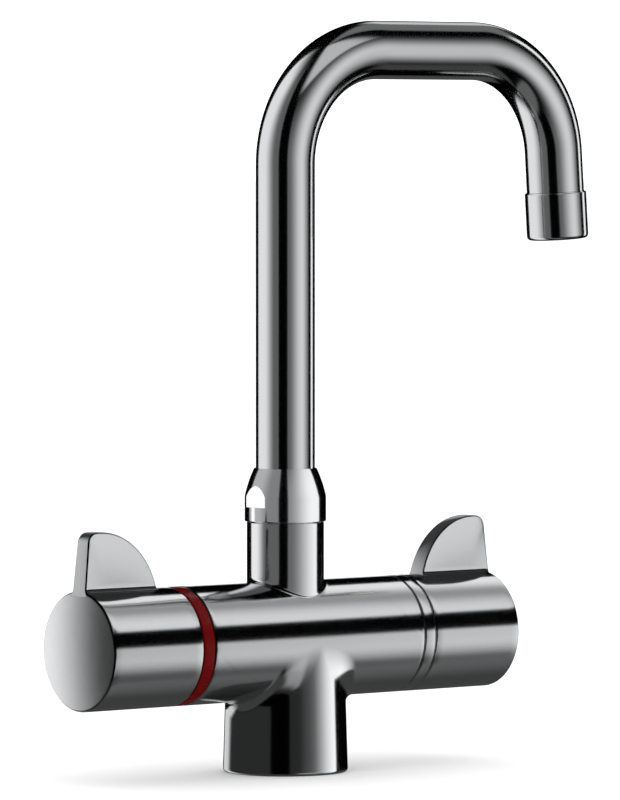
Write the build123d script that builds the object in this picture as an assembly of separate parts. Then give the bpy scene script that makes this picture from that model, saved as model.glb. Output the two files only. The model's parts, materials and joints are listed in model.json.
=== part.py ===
from build123d import *
from math import cos, radians, sin, sqrt
import os

os.makedirs("parts", exist_ok=True)

# A thermostatic basin mixer tap, in millimetres.
# The origin is the middle of the foot's underside, where the fixing stud screws in.
# +X runs along the barrel to the flow handle, -X to the temperature handle,
# -Y is the front and +Z is up. The spout is shown swung over +X.

# Fits and gaps
running_play = 0.08      # radial play of a shaft or slide in its bore
fixed_play = 0.05        # radial play of a piece that is screwed or pressed in
face_play = 0.05         # play between flat faces that turn on each other
seam_gap = 0.3           # open joint line between casings
seal_play = 0.03         # how far a fitted ring stays clear of its seat

# Body casting
barrel_height = 49.0     # axis of the barrel above the basin
barrel_radius = 22.0
body_half_length = 49.6
body_end_rounding = 0.8
foot_radius = 23.3
column_inset = 0.1       # the column is this much slimmer than the barrel at the barrel's axis
foot_rounding = 1.3
column_blend = 7.0
socket_height = 22.0     # above the top of the barrel
socket_step = 1.75       # shoulder between the socket and its threaded neck
socket_blend = 2.0
neck_wall = 2.9
neck_length = 10.0

# Waterways in the casting
cartridge_bore = 15.0    # radii of the two chambers
cartridge_room = 41.6    # depth of the cartridge's chamber
headwork_bore = 13.0
headwork_floor = 3.0     # distance of this chamber's floor from the middle
cross_way_radius = 5.0   # mixed water, from the cartridge to the flow valve
spout_port_radius = 3.5
spout_port_offset = 8.0
spout_floor_wall = 2.0   # between the cartridge chamber and the socket's bore
feed_radius = 2.2        # hot and cold feeds, cast in the barrel's wall
inlet_offset = 10.5      # hot inlet in front of the middle, cold inlet behind it
inlet_thread_radius = 4.5
inlet_thread_depth = 11.0
valve_pocket_step = 0.2
valve_pocket_length = 15.0
stud_hole_radius = 3.4
stud_hole_depth = 16.0

# Base seal
seal_inset = 2.9         # from the foot's edge
seal_width = 3.0
seal_depth = 2.0

# Inlet filters and check valves
filter_opening = 2.4
filter_rim = 1.2
filter_dome_height = 2.6
filter_dome_radius = 1.4
filter_wall = 0.4
check_valve_gap = 3.0    # from the end of the inlet's thread
check_valve_nose = 2.0
check_valve_band = 2.8   # length of the wide band at the valve's inlet end
check_valve_waist = 0.9  # depth of the waist behind that band
check_valve_waist_length = 2.4
check_valve_stem = 1.8
check_valve_stem_length = 1.6
chamfer_length = 1.2

# Thermostatic cartridge, from the middle of the body outwards
cartridge_inset = 24.6   # from the body's end to the cartridge's middle
port_offset = 8.0        # cold ports are this far inside the middle, hot ports outside
port_width = 4.5
strainer_width = 6.0
strainer_wall = 0.5
strainer_depth = 1.4     # recess that holds a strainer
port_count = 6
port_span = 34.0         # degrees that each port takes
sleeve_length = 33.0
sleeve_wall = 3.85
sleeve_lip_step = 0.8    # the sleeve's lip reaches this far inside the return spring
sleeve_lip_width = 2.0
sleeve_ring_offset = 13.0
ring_groove_depth = 1.5
ring_groove_width = 2.2
shuttle_half_length = 7.0
shuttle_wall = 2.0
shuttle_web = 2.0
shuttle_ring_depth = 1.2
shuttle_hole_radius = 1.3
shuttle_hole_count = 6
wax_body_radius = 4.5
wax_body_length = 1.0    # in front of the shuttle's web
wax_bulb_radius = 3.3
wax_bulb_length = 12.5
wax_flange_radius = 5.2
wax_flange_width = 2.0
piston_radius = 1.4
piston_length = 10.2
return_coil_gap = 1.0
return_wire_radius = 0.6
return_coil_pitch = 2.9
nut_body_gap = 1.2       # between the drive nut and the sleeve's bore
nut_mouth_radius = 5.0
nut_mouth_width = 1.5
nut_cup_radius = 6.0
nut_thread_length = 4.0
nut_stop_gap = 0.75      # left between the drive nut and the spindle's collar at full travel
key_width = 3.0
key_height = 1.2
key_length = 7.0
cup_thickness = 1.5
cup_gap = 0.2
overload_coil_gap = 0.9
overload_wire_radius = 0.5
overload_coil_pitch = 1.5
thermostat_travel = 1.0  # each way from the middle setting

# Screwed collars that hold the rings, and the two spindles
ring_depth = 4.5         # from the barrel's outside in to the collar
ring_width = 4.8
ring_rounding = 0.5
nose_radius = 9.0
nose_length = 7.6
cap_wall = 1.4           # end wall of the cartridge cap inside its nose
spindle_radius = 4.0
spindle_thrust_step = 2.0
spindle_thrust_width = 1.2
spindle_thread_step = 0.6
shaft_ring_depth = 0.9
shaft_ring_width = 1.6
clip_step = 2.0          # how far the clip stands out of its groove in the spindle
clip_width = 1.0
clip_groove_depth = 0.8
clip_opening = 4.0
spline_length = 12.0
spline_depth = 0.6
spline_width = 1.0
spline_count = 8
insert_wall = 3.0

# Ceramic headwork, from the middle of the body outwards
headwork_water_gap = 2.5
headwork_stem_wall = 1.5
headwork_land_start = 28.0
valve_seal_step = 0.6    # inside the disc pocket's wall
valve_seal_gap = 0.3     # outside the water way's edge
valve_seal_width = 2.3
fixed_disc_width = 3.5
moving_disc_width = 3.4
disc_port_inner = 2.4
disc_port_step = 1.8     # inside the disc pocket's wall
disc_port_span = 80.0    # degrees
driver_step = 1.0        # inside the disc pocket's wall
driver_width = 2.2
tang_step = 1.5          # inside the driver's edge
tang_width = 2.4
tang_height = 1.4
headwork_window_width = 9.0
headwork_window_length = 4.0

# Handles
handle_length = 40.7
handle_wall = 3.5
handle_face = 4.0
handle_dome = 0.6
handle_rim_rounding = 0.8
handle_mouth_rounding = 0.8
hub_wall = 2.95
hub_gap = 1.0            # between the spindle's clip and the hub
insert_recess = 0.6
screw_radius = 2.0
screw_length = 12.0
screw_boss_wall = 2.2
socket_key_radius = 1.1
socket_key_depth = 2.0
fin_height = 43.4        # top of the fin above the barrel's axis
fin_lean = 2.0
fin_corner_radius = 4.0
fin_peak_inset = 7.5
fin_curve_base = 15.0
fin_reach = 25.85
fin_root_depth = 2.0
fin_base_thickness = 8.0 # at the root, inside the shell
fin_tip_thickness = 6.6
fin_rounding = 0.5

# Collar nut
nut_wall = 2.55
nut_lip = 0.5            # thickness of the nut's top edge around the tube
nut_straight_height = 9.3
nut_taper_height = 10.4
nut_bulge = 0.31
nut_flat_depth = 1.05
nut_flat_start = 5.4
nut_shoulder_width = 7.0
nut_bottom_rounding = 0.4

# Swivel spout
tube_radius = 11.0
tube_wall = 1.5
rise_bend_radius = 43.0
fall_bend_radius = 41.0
spout_height = 268.7     # centreline of the level run
fall_bend_start = 90.4
fall_turn = 86.0         # degrees, so the outlet leans a little outwards
outlet_leg = 15.6
spigot_step = 1.3        # from the tube's outside in to the socket's bore
split_ring_step = 0.4    # inside the neck's outside
split_ring_width = 1.8
split_ring_groove_depth = 0.62
split_ring_opening = 6.0
slip_ring_width = 1.0
spigot_floor_gap = 4.0
spigot_wall = 2.0
spigot_shoulder_width = 2.1
spigot_plug_length = 10.0
spigot_ring_depth = 1.3
spigot_ring_inset = 10.0 # from the spigot's foot to its lower ring
spigot_ring_spacing = 14.0

# Outlet
outlet_step = 0.8        # the housing stands out from the tube by this much
outlet_length = 18.0
outlet_rounding = 1.6
outlet_seam = 0.15
outlet_thread_step = 0.2
outlet_thread_length = 8.5
bush_wall = 2.0
bush_plug_length = 8.0
outlet_seal_width = 1.5
outlet_lip_width = 1.0
outlet_lip_step = 0.95
straightener_step = 0.9
straightener_hole_radius = 0.9
straightener_hole_pitch = 2.6
straightener_rings = 3

# Values that follow from the sizes above
column_top_radius = barrel_radius - column_inset
cartridge_floor = body_half_length - cartridge_room
cartridge_middle = body_half_length - cartridge_inset
feed_circle = (cartridge_bore + barrel_radius) / 2
feed_height = barrel_height - sqrt(feed_circle**2 - inlet_offset**2)
valve_pocket_radius = inlet_thread_radius - valve_pocket_step
valve_pocket_top = inlet_thread_depth + valve_pocket_length
seal_outer_radius = foot_radius - seal_inset
seal_inner_radius = seal_outer_radius - seal_width

spout_bore = tube_radius - spigot_step
neck_radius = spout_bore + neck_wall
socket_radius = neck_radius + socket_step
socket_top = barrel_height + barrel_radius + socket_height
neck_top = socket_top + neck_length
spout_bore_floor = barrel_height + cartridge_bore + spout_floor_wall

ring_start = body_half_length + seam_gap
ring_end = ring_start + ring_width
collar_radius = barrel_radius - ring_depth
collar_end = ring_end - seam_gap
nose_end = collar_end + nose_length
handle_start = ring_end + seam_gap
handle_end = handle_start + handle_length
clip_start = nose_end + 2 * seam_gap
clip_end = clip_start + clip_width
clip_bore = spindle_radius - clip_groove_depth + fixed_play
hub_start = clip_end + hub_gap
insert_start = hub_start + insert_recess
insert_end = insert_start + spline_length
insert_radius = spindle_radius + insert_wall
hub_bore_radius = insert_radius + fixed_play
hub_radius = hub_bore_radius + hub_wall
screw_place = (insert_start + insert_end) / 2
spindle_bore = spindle_radius + running_play
thrust_end = collar_end - cap_wall - face_play
thrust_start = thrust_end - spindle_thrust_width
shaft_ring_place = nose_end - 2 * shaft_ring_width

cold_port_place = cartridge_middle - port_offset
hot_port_place = cartridge_middle + port_offset
sleeve_radius = cartridge_bore - fixed_play
sleeve_bore = sleeve_radius - sleeve_wall
sleeve_ring_places = [cartridge_middle + step * sleeve_ring_offset for step in (-1, 0, 1)]
cap_start = cartridge_floor + sleeve_length
cap_ring_place = (cap_start + body_half_length) / 2
cap_room_end = collar_end - cap_wall
shuttle_radius = sleeve_bore - running_play
shuttle_bore = shuttle_radius - shuttle_wall
web_start = cartridge_middle - shuttle_web / 2
web_end = cartridge_middle + shuttle_web / 2
return_coil_radius = shuttle_bore - return_coil_gap - return_wire_radius
sleeve_lip_radius = return_coil_radius - return_wire_radius - sleeve_lip_step
wax_flange_end = web_end + wax_flange_width
wax_tip = wax_flange_end + piston_length
nut_body_radius = sleeve_bore - nut_body_gap
nut_start = wax_tip - cup_gap - nut_mouth_width
nut_end = thrust_start - nut_stop_gap - thermostat_travel
nut_cup_end = nut_end - nut_thread_length
nut_cavity_radius = nut_body_radius + seam_gap
overload_coil_radius = nut_cup_radius - overload_coil_gap - overload_wire_radius
spindle_thread_radius = spindle_radius - spindle_thread_step
spindle_thread_start = nut_cup_end + thermostat_travel + seam_gap

headwork_start = headwork_floor + face_play
headwork_land_radius = headwork_bore - fixed_play
headwork_stem_radius = headwork_bore - headwork_water_gap
headwork_ring_place = headwork_land_start + 2 * ring_groove_width
disc_pocket_radius = headwork_stem_radius - headwork_stem_wall
fixed_disc_start = headwork_floor + valve_seal_width
moving_disc_start = fixed_disc_start + fixed_disc_width + face_play
driver_start = moving_disc_start + moving_disc_width + face_play
disc_pocket_end = driver_start + driver_width + face_play
driver_radius = disc_pocket_radius - driver_step
tang_radius = driver_radius - tang_step

nut_radius = neck_radius + nut_wall
nut_bore = tube_radius + 2 * running_play
nut_top_radius = nut_bore + nut_lip
nut_bottom = socket_top + seam_gap
nut_taper_start = nut_bottom + nut_straight_height
nut_top = nut_taper_start + nut_taper_height
nut_shoulder = nut_top - nut_shoulder_width

spigot_radius = spout_bore - running_play
spigot_bottom = spout_bore_floor + spigot_floor_gap
spigot_ring_places = (spigot_bottom + spigot_ring_inset,
                      spigot_bottom + spigot_ring_inset + spigot_ring_spacing)
spigot_ring_floor = spigot_radius - spigot_ring_depth
split_ring_groove = spigot_radius - split_ring_groove_depth
spigot_way_radius = split_ring_groove - spigot_wall
split_ring_bottom = neck_top + face_play
split_ring_top = split_ring_bottom + split_ring_width
shoulder_bottom = split_ring_top + face_play
tube_start = shoulder_bottom + spigot_shoulder_width
tube_bore = tube_radius - tube_wall
plug_radius = tube_bore - fixed_play

outlet_radius = tube_radius + outlet_step
outlet_thread_radius = tube_radius - outlet_thread_step
outlet_way_radius = tube_bore - bush_wall
straightener_start = outlet_thread_length + outlet_seal_width
straightener_end = outlet_length - outlet_lip_width
straightener_radius = outlet_thread_radius - straightener_step
outlet_lip_radius = straightener_radius + fixed_play - outlet_lip_step


def turned(*outline):
    """A solid turned about +Z from (radius, height) corners."""
    return revolve(make_face(Polyline(*[(r, 0, h) for r, h in outline], close=True)), Axis.Z)


def ring_about_z(inner, outer, start, end):
    """A plain ring or sleeve about +Z, or a cylinder where the inner radius is 0."""
    return turned((inner, start), (outer, start), (outer, end), (inner, end))


def groove(inner, outer, middle, width):
    """What is cut away for a ring groove about +Z."""
    return ring_about_z(inner, outer, middle - width / 2, middle + width / 2)


def rims(solid, radius, height):
    """The circular edges of one radius at one height on a piece about +Z."""
    circles = solid.edges().filter_by(GeomType.CIRCLE)
    return [e for e in circles if abs(e.radius - radius) < 0.01 and abs(e.center().Z - height) < 0.01]


def around(count, shape):
    """Copies of a shape, spread evenly about +Z."""
    return [Rot(0, 0, 360 * i / count) * shape for i in range(count)]


def along_barrel(shape, side):
    """Lay a piece made about +Z along the barrel: side 1 is the flow side, -1 the temperature side."""
    return Pos(0, 0, barrel_height) * Rot(0, 90 * side, 0) * shape


def sector(inner, outer, start, end, span):
    """A block between two radii and two heights that spans an angle, centred on +X."""
    block = Polyline((inner, 0, start), (outer, 0, start), (outer, 0, end), (inner, 0, end), close=True)
    return Rot(0, 0, -span / 2) * revolve(make_face(block), Axis.Z, span)


def o_ring(floor_radius, bore_radius, place):
    """A rubber ring of round section about +Z, between a groove's floor and its bore."""
    section = (bore_radius - floor_radius) / 2 - seal_play
    return Pos(0, 0, place) * Torus((bore_radius + floor_radius) / 2, section)


def spring(coil_radius, wire_radius, pitch, start, end):
    """A coil spring about +Z that fits between two heights."""
    inset = wire_radius + seal_play
    path = Helix(pitch=pitch, height=end - start - 2 * inset, radius=coil_radius)
    wire = Plane(origin=path @ 0, z_dir=path % 0) * Circle(wire_radius)
    return Pos(0, 0, start + inset) * sweep(wire, path=path, is_frenet=True)


def split_ring(inner, outer, start, end, opening):
    """A ring about +Z with a gap cut through one side."""
    gap = Pos(outer, 0, (start + end) / 2) * Box(2 * outer, opening, 2 * (end - start))
    return ring_about_z(inner, outer, start, end) - gap


def casting_outside():
    """Barrel, tapered foot and spout socket, blended into each other."""
    barrel = Pos(0, 0, barrel_height) * Rot(0, 90, 0) * Cylinder(barrel_radius, 2 * body_half_length)
    column = turned((0, 0), (foot_radius, 0), (column_top_radius, barrel_height), (0, barrel_height))
    socket = ring_about_z(0, socket_radius, barrel_height, socket_top)
    solid = barrel + column + socket
    curved = [e for e in solid.edges() if e.geom_type not in (GeomType.LINE, GeomType.CIRCLE)]
    solid = fillet([e for e in curved if e.center().Z > barrel_height], socket_blend)
    curved = [e for e in solid.edges() if e.geom_type not in (GeomType.LINE, GeomType.CIRCLE)]
    lowest = barrel_height - barrel_radius - column_blend
    below = [e for e in curved if e.bounding_box().max.Z < barrel_height + column_blend]
    solid = fillet([e for e in below if e.bounding_box().min.Z > lowest], column_blend)
    circles = solid.edges().filter_by(GeomType.CIRCLE)
    ends = [e for e in circles if abs(abs(e.center().X) - body_half_length) < 0.01]
    solid = fillet(ends, body_end_rounding)
    solid = fillet(rims(solid, foot_radius, 0), foot_rounding)
    return solid + ring_about_z(0, neck_radius, socket_top - socket_step, neck_top)


def feed_way(y, place):
    """The bore from an inlet up through its valve pocket, along the barrel's wall and in to the cartridge."""
    riser = turned((0, -1), (inlet_thread_radius, -1), (inlet_thread_radius, inlet_thread_depth),
                   (valve_pocket_radius, inlet_thread_depth), (valve_pocket_radius, valve_pocket_top),
                   (feed_radius, valve_pocket_top), (feed_radius, feed_height), (0, feed_height))
    feed_length = place + 2 * feed_radius
    feed = Pos(feed_radius - feed_length / 2, y, feed_height) * Rot(0, 90, 0) * Cylinder(
        feed_radius, feed_length)
    feed_point = Vector(-place, y, feed_height)
    inwards = Vector(0, -y, barrel_height - feed_height)
    port_length = feed_circle - cartridge_bore + 1
    port = Plane(origin=feed_point, z_dir=inwards) * Pos(0, 0, port_length / 2) * Cylinder(
        feed_radius, port_length)
    return [Pos(0, y, 0) * riser, feed, port]


def casting_waterways():
    """Everything that is cast or drilled out of the body."""
    cartridge_chamber = ring_about_z(0, cartridge_bore, cartridge_floor, body_half_length + 1)
    headwork_chamber = ring_about_z(0, headwork_bore, headwork_floor, body_half_length + 1)
    cross_way = Pos(0, 0, barrel_height) * Rot(0, 90, 0) * Cylinder(
        cross_way_radius, 2 * (cartridge_floor + 1))
    spout_room = ring_about_z(0, spout_bore, spout_bore_floor, neck_top + 1)
    spout_port = Pos(spout_port_offset, 0, 0) * ring_about_z(
        0, spout_port_radius, barrel_height + headwork_bore / 2, spout_bore_floor + 1)
    stud_hole = ring_about_z(0, stud_hole_radius, -1, stud_hole_depth)
    seal_groove = ring_about_z(seal_inner_radius, seal_outer_radius, -1, seal_depth)
    rooms = [along_barrel(cartridge_chamber, -1), along_barrel(headwork_chamber, 1), cross_way]
    rooms += [spout_room, spout_port, stud_hole, seal_groove]
    return rooms + feed_way(-inlet_offset, hot_port_place) + feed_way(inlet_offset, cold_port_place)


def body_casting():
    return casting_outside() - casting_waterways()


def base_seal():
    return ring_about_z(seal_inner_radius + seal_play, seal_outer_radius - seal_play, 0, seal_depth)


def inlet_filter(y):
    """A plastic ring with a domed strainer, at the mouth of the check valve's pocket."""
    start = inlet_thread_depth + fixed_play
    radius = valve_pocket_radius - fixed_play
    dome = start + filter_dome_height
    hollow = filter_dome_radius - filter_wall
    ring = turned((filter_opening, start), (radius, start), (radius, start + filter_rim),
                  (filter_dome_radius, dome), (0, dome), (0, dome - 2 * filter_wall),
                  (hollow, dome - 2 * filter_wall))
    return Pos(0, y, 0) * ring


def check_valve(y):
    """A one-way valve: a waisted barrel with a chamfered nose, and its poppet's stem on top."""
    start = inlet_thread_depth + check_valve_gap
    end = valve_pocket_top - face_play
    radius = valve_pocket_radius - fixed_play
    waist = radius - check_valve_waist
    waist_start = start + chamfer_length + check_valve_band
    waist_end = waist_start + check_valve_waist_length
    shoulder = end - check_valve_stem_length
    barrel = turned((0, start), (check_valve_nose, start), (radius, start + chamfer_length),
                    (radius, waist_start), (waist, waist_start), (waist, waist_end), (radius, waist_end),
                    (radius, shoulder), (check_valve_stem, shoulder), (check_valve_stem, end), (0, end))
    return Pos(0, y, 0) * barrel


def cartridge_sleeve():
    """The ported sleeve: cold ports inwards, hot ports outwards, a groove for each seal."""
    lip_end = cartridge_floor + sleeve_lip_width
    sleeve = turned((sleeve_lip_radius, cartridge_floor), (sleeve_radius, cartridge_floor),
                    (sleeve_radius, cap_start), (sleeve_bore, cap_start), (sleeve_bore, lip_end),
                    (sleeve_lip_radius, lip_end))
    floor = sleeve_radius - ring_groove_depth
    cuts = [groove(floor, cartridge_bore, place, ring_groove_width) for place in sleeve_ring_places]
    for place in (cold_port_place, hot_port_place):
        cuts.append(groove(sleeve_radius - strainer_depth, cartridge_bore, place, strainer_width))
        port = sector(sleeve_bore - 1, cartridge_bore, place - port_width / 2, place + port_width / 2,
                      port_span)
        cuts += around(port_count, port)
    return along_barrel(sleeve - cuts, -1)


def cartridge_o_rings():
    floor = sleeve_radius - ring_groove_depth
    return Compound([along_barrel(o_ring(floor, cartridge_bore, place), -1) for place in sleeve_ring_places])


def strainer(place):
    """A fine-mesh band that lies in the sleeve's recess, over its ports."""
    floor = sleeve_radius - strainer_depth + fixed_play
    return along_barrel(groove(floor, floor + strainer_wall, place, strainer_width - 2 * fixed_play), -1)


def cartridge_cap():
    """The screwed cap: a plug that houses the drive nut, the ring's collar and the spindle's nose."""
    cap = turned((spindle_bore, cap_start), (sleeve_radius, cap_start), (sleeve_radius, body_half_length),
                 (collar_radius, body_half_length), (collar_radius, collar_end), (nose_radius, collar_end),
                 (nose_radius, nose_end), (spindle_bore, nose_end))
    room = ring_about_z(0, nut_cavity_radius, cap_start - 1, cap_room_end)
    ring_groove = groove(sleeve_radius - ring_groove_depth, cartridge_bore, cap_ring_place, ring_groove_width)
    slot_reach = nut_body_radius + key_height + running_play
    slot = Pos(slot_reach / 2, 0, (cap_start - 1 + cap_room_end) / 2) * Box(
        slot_reach, key_width + 2 * running_play, cap_room_end - cap_start + 1)
    return along_barrel(cap - room - ring_groove - around(2, slot), -1)


def cap_o_ring():
    return along_barrel(o_ring(sleeve_radius - ring_groove_depth, cartridge_bore, cap_ring_place), -1)


def side_ring(side):
    """The ring between the body and a handle, held on the screwed collar."""
    ring = ring_about_z(collar_radius + fixed_play, barrel_radius, ring_start, ring_end)
    ring = fillet(rims(ring, barrel_radius, ring_start) + rims(ring, barrel_radius, ring_end), ring_rounding)
    return along_barrel(ring, side)


def mixing_shuttle():
    """The sliding ring that opens the hot ports as it closes the cold ones, with its pierced web."""
    shuttle = groove(shuttle_bore, shuttle_radius, cartridge_middle, 2 * shuttle_half_length)
    shuttle += groove(wax_body_radius + fixed_play, shuttle_bore + shuttle_wall / 2, cartridge_middle,
                      shuttle_web)
    hole = Pos((wax_flange_radius + shuttle_bore) / 2, 0, cartridge_middle) * Cylinder(
        shuttle_hole_radius, 2 * shuttle_web)
    ring_groove = groove(shuttle_radius - shuttle_ring_depth, sleeve_bore, cartridge_middle,
                         ring_groove_width)
    return along_barrel(shuttle - ring_groove - around(shuttle_hole_count, hole), -1)


def shuttle_o_ring():
    return along_barrel(o_ring(shuttle_radius - shuttle_ring_depth, shuttle_radius, cartridge_middle), -1)


def wax_element():
    """A wax capsule: bulb in the mixed water, flange on the shuttle's web, piston outwards."""
    body_start = web_start - wax_body_length
    bulb_start = body_start - wax_bulb_length
    element = turned((0, bulb_start), (wax_bulb_radius, bulb_start), (wax_bulb_radius, body_start),
                     (wax_body_radius, body_start), (wax_body_radius, web_end), (wax_flange_radius, web_end),
                     (wax_flange_radius, wax_flange_end), (piston_radius, wax_flange_end),
                     (piston_radius, wax_tip), (0, wax_tip))
    return along_barrel(fillet(rims(element, wax_bulb_radius, bulb_start), wax_bulb_radius / 2), -1)


def overload_cup():
    """The cup that passes the overload spring's force to the wax capsule's piston."""
    radius = nut_cup_radius - running_play
    return along_barrel(ring_about_z(0, radius, wax_tip, wax_tip + cup_thickness), -1)


def overload_spring():
    start = wax_tip + cup_thickness
    return along_barrel(
        spring(overload_coil_radius, overload_wire_radius, overload_coil_pitch, start, nut_cup_end), -1)


def drive_nut():
    """The nut that the spindle screws in and out: a cup for the overload spring, with two keys."""
    thread_bore = spindle_thread_radius + running_play
    mouth_end = nut_start + nut_mouth_width
    nut = turned((nut_mouth_radius, nut_start), (nut_body_radius, nut_start), (nut_body_radius, nut_end),
                 (thread_bore, nut_end), (thread_bore, nut_cup_end), (nut_cup_radius, nut_cup_end),
                 (nut_cup_radius, mouth_end), (nut_mouth_radius, mouth_end))
    key = Pos(nut_body_radius, 0, nut_end - key_length / 2) * Box(2 * key_height, key_width, key_length)
    return along_barrel(nut + around(2, key), -1)


def return_spring():
    start = cartridge_floor + sleeve_lip_width
    return along_barrel(
        spring(return_coil_radius, return_wire_radius, return_coil_pitch, start, web_start), -1)


def spindle_end():
    """The outer stretch of a spindle: ring groove, clip groove and splines."""
    shaft = ring_about_z(0, spindle_radius, thrust_end, insert_end)
    ring_groove = groove(spindle_radius - shaft_ring_depth, spindle_radius + 1, shaft_ring_place,
                         shaft_ring_width)
    clip_groove = ring_about_z(spindle_radius - clip_groove_depth, spindle_radius + 1,
                               clip_start - seal_play, clip_end + seal_play)
    spline = Pos(spindle_radius, 0, (insert_start + insert_end) / 2) * Box(
        2 * spline_depth, spline_width, spline_length)
    return shaft - ring_groove - clip_groove - around(spline_count, spline)


def shaft_o_ring(side):
    return along_barrel(o_ring(spindle_radius - shaft_ring_depth, spindle_bore, shaft_ring_place), side)


def spindle_clip(side):
    """The open clip that keeps a spindle in its nose."""
    return along_barrel(split_ring(clip_bore, clip_bore - fixed_play + clip_step + clip_groove_depth,
                                   clip_start, clip_end, clip_opening), side)


def temperature_spindle():
    thread = ring_about_z(0, spindle_thread_radius, spindle_thread_start, thrust_start)
    thrust = ring_about_z(0, spindle_radius + spindle_thrust_step, thrust_start, thrust_end)
    return along_barrel(spindle_end() + thread + thrust, -1)


def spline_insert(side):
    """The sleeve that joins a handle's hub to its spindle, with ribs in the spindle's grooves."""
    bore = spindle_radius + fixed_play
    sleeve = ring_about_z(bore, insert_radius, insert_start, insert_end)
    rib = Pos(bore, 0, (insert_start + insert_end) / 2) * Box(
        2 * (spline_depth - fixed_play), spline_width - 2 * fixed_play, spline_length)
    return along_barrel(sleeve + around(spline_count, rib), side)


def grub_screw(side):
    """A socket-headed grub screw that runs up through the handle's underside to the insert."""
    top = barrel_height - insert_radius - fixed_play
    bottom = top - screw_length
    key = Pos(0, 0, bottom) * extrude(RegularPolygon(socket_key_radius, 6), socket_key_depth)
    screw = ring_about_z(0, screw_radius, bottom, top) - key
    return Pos(side * screw_place, 0, 0) * screw


def fin():
    """The upright fin of a handle: part of an ellipse with a leaning outer edge, thinner at its tip."""
    shoulder = barrel_height + barrel_radius
    root = shoulder - fin_root_depth
    top = barrel_height + fin_height
    full_lean = fin_lean * (top - root) / (top - shoulder)
    peak_x = handle_end - fin_peak_inset
    inner_x = peak_x - fin_reach - 1
    side = Polyline((handle_end, root), (handle_end - full_lean, top), (inner_x, top), (inner_x, root),
                    close=True)
    curve = Pos(peak_x, barrel_height + fin_curve_base) * Ellipse(fin_reach, fin_height - fin_curve_base)
    outline = make_face(side) & curve
    outline = fillet(outline.vertices().sort_by(Axis.Y)[-1], fin_corner_radius)
    base_half = fin_base_thickness / 2
    tip_half = fin_tip_thickness / 2
    blade = extrude(Plane.XZ * outline, base_half, both=True)
    draft = Polyline((0, -base_half, root), (0, base_half, root), (0, tip_half, top), (0, -tip_half, top),
                     close=True)
    blade = blade & extrude(make_face(draft), 2 * handle_end, dir=(1, 0, 0))
    risen = [e for e in blade.edges() if e.bounding_box().max.Z > root + fin_rounding]
    return fillet([e for e in risen if abs(e.center().Y) > tip_half / 2], fin_rounding)


def handle_shell():
    """The outside of a handle's cup, with a slightly domed face."""
    crown = handle_end + handle_dome
    wall = Polyline((0, crown), (0, handle_start), (barrel_radius, handle_start), (barrel_radius, handle_end))
    dome = TangentArc((0, crown), (barrel_radius, handle_end), tangent=(1, 0))
    outside = revolve(Plane.XZ * make_face(wall + dome), Axis.Z)
    outside = fillet(rims(outside, barrel_radius, handle_end), handle_rim_rounding)
    return fillet(rims(outside, barrel_radius, handle_start), handle_mouth_rounding)


def handle(side):
    """A handle: hollow shell, fin, hub for the spline insert and boss for the grub screw."""
    floor = handle_end - handle_face
    cavity_radius = barrel_radius - handle_wall
    cavity = ring_about_z(0, cavity_radius, handle_start - 1, floor)
    hub = ring_about_z(0, hub_radius, hub_start, floor + 1)
    hub_bore = ring_about_z(0, hub_bore_radius, hub_start - 1, insert_end + face_play)
    boss = Pos(screw_place, 0, 0) * ring_about_z(
        0, screw_radius + screw_boss_wall, barrel_height - cavity_radius - 1, barrel_height - hub_radius / 2)
    screw_hole = Pos(screw_place, 0, 0) * ring_about_z(
        0, screw_radius + fixed_play, barrel_height - barrel_radius - 1, barrel_height)
    solid = along_barrel(handle_shell(), 1) + fin() - along_barrel(cavity, 1)
    solid = solid + along_barrel(hub, 1) + boss - along_barrel(hub_bore, 1) - screw_hole
    return solid if side > 0 else Rot(0, 0, 180) * solid


def headwork_seal():
    return along_barrel(ring_about_z(cross_way_radius + valve_seal_gap, disc_pocket_radius - valve_seal_step,
                                     headwork_floor, fixed_disc_start), 1)


def disc_ports(start, width):
    """Two opposite ports through a ceramic disc."""
    port = sector(disc_port_inner, disc_pocket_radius - disc_port_step, start - 1, start + width + 1,
                  disc_port_span)
    return around(2, port)


def fixed_ceramic_disc():
    disc = ring_about_z(0, disc_pocket_radius - fixed_play, fixed_disc_start,
                        fixed_disc_start + fixed_disc_width)
    return along_barrel(disc - disc_ports(fixed_disc_start, fixed_disc_width), 1)


def moving_ceramic_disc():
    """The disc that turns on the fixed one; its ports stand across at the closed setting."""
    end = moving_disc_start + moving_disc_width
    disc = ring_about_z(0, disc_pocket_radius - running_play, moving_disc_start, end)
    ports = [Rot(0, 0, 90) * port for port in disc_ports(moving_disc_start, moving_disc_width)]
    slot = Pos(0, 0, end) * Box(2 * (tang_radius + running_play), tang_width + 2 * running_play,
                                2 * (tang_height + face_play))
    return along_barrel(disc - ports - slot, 1)


def flow_spindle():
    """The spindle of the ceramic valve: a driver with a tang in the moving disc's slot, and the shaft."""
    driver = ring_about_z(0, driver_radius, driver_start, driver_start + driver_width)
    tang = Pos(0, 0, driver_start) * Box(2 * tang_radius, tang_width, 2 * tang_height)
    shaft = ring_about_z(0, spindle_radius, driver_start + driver_width, thrust_end)
    return along_barrel(spindle_end() + driver + tang + shaft, 1)


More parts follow.
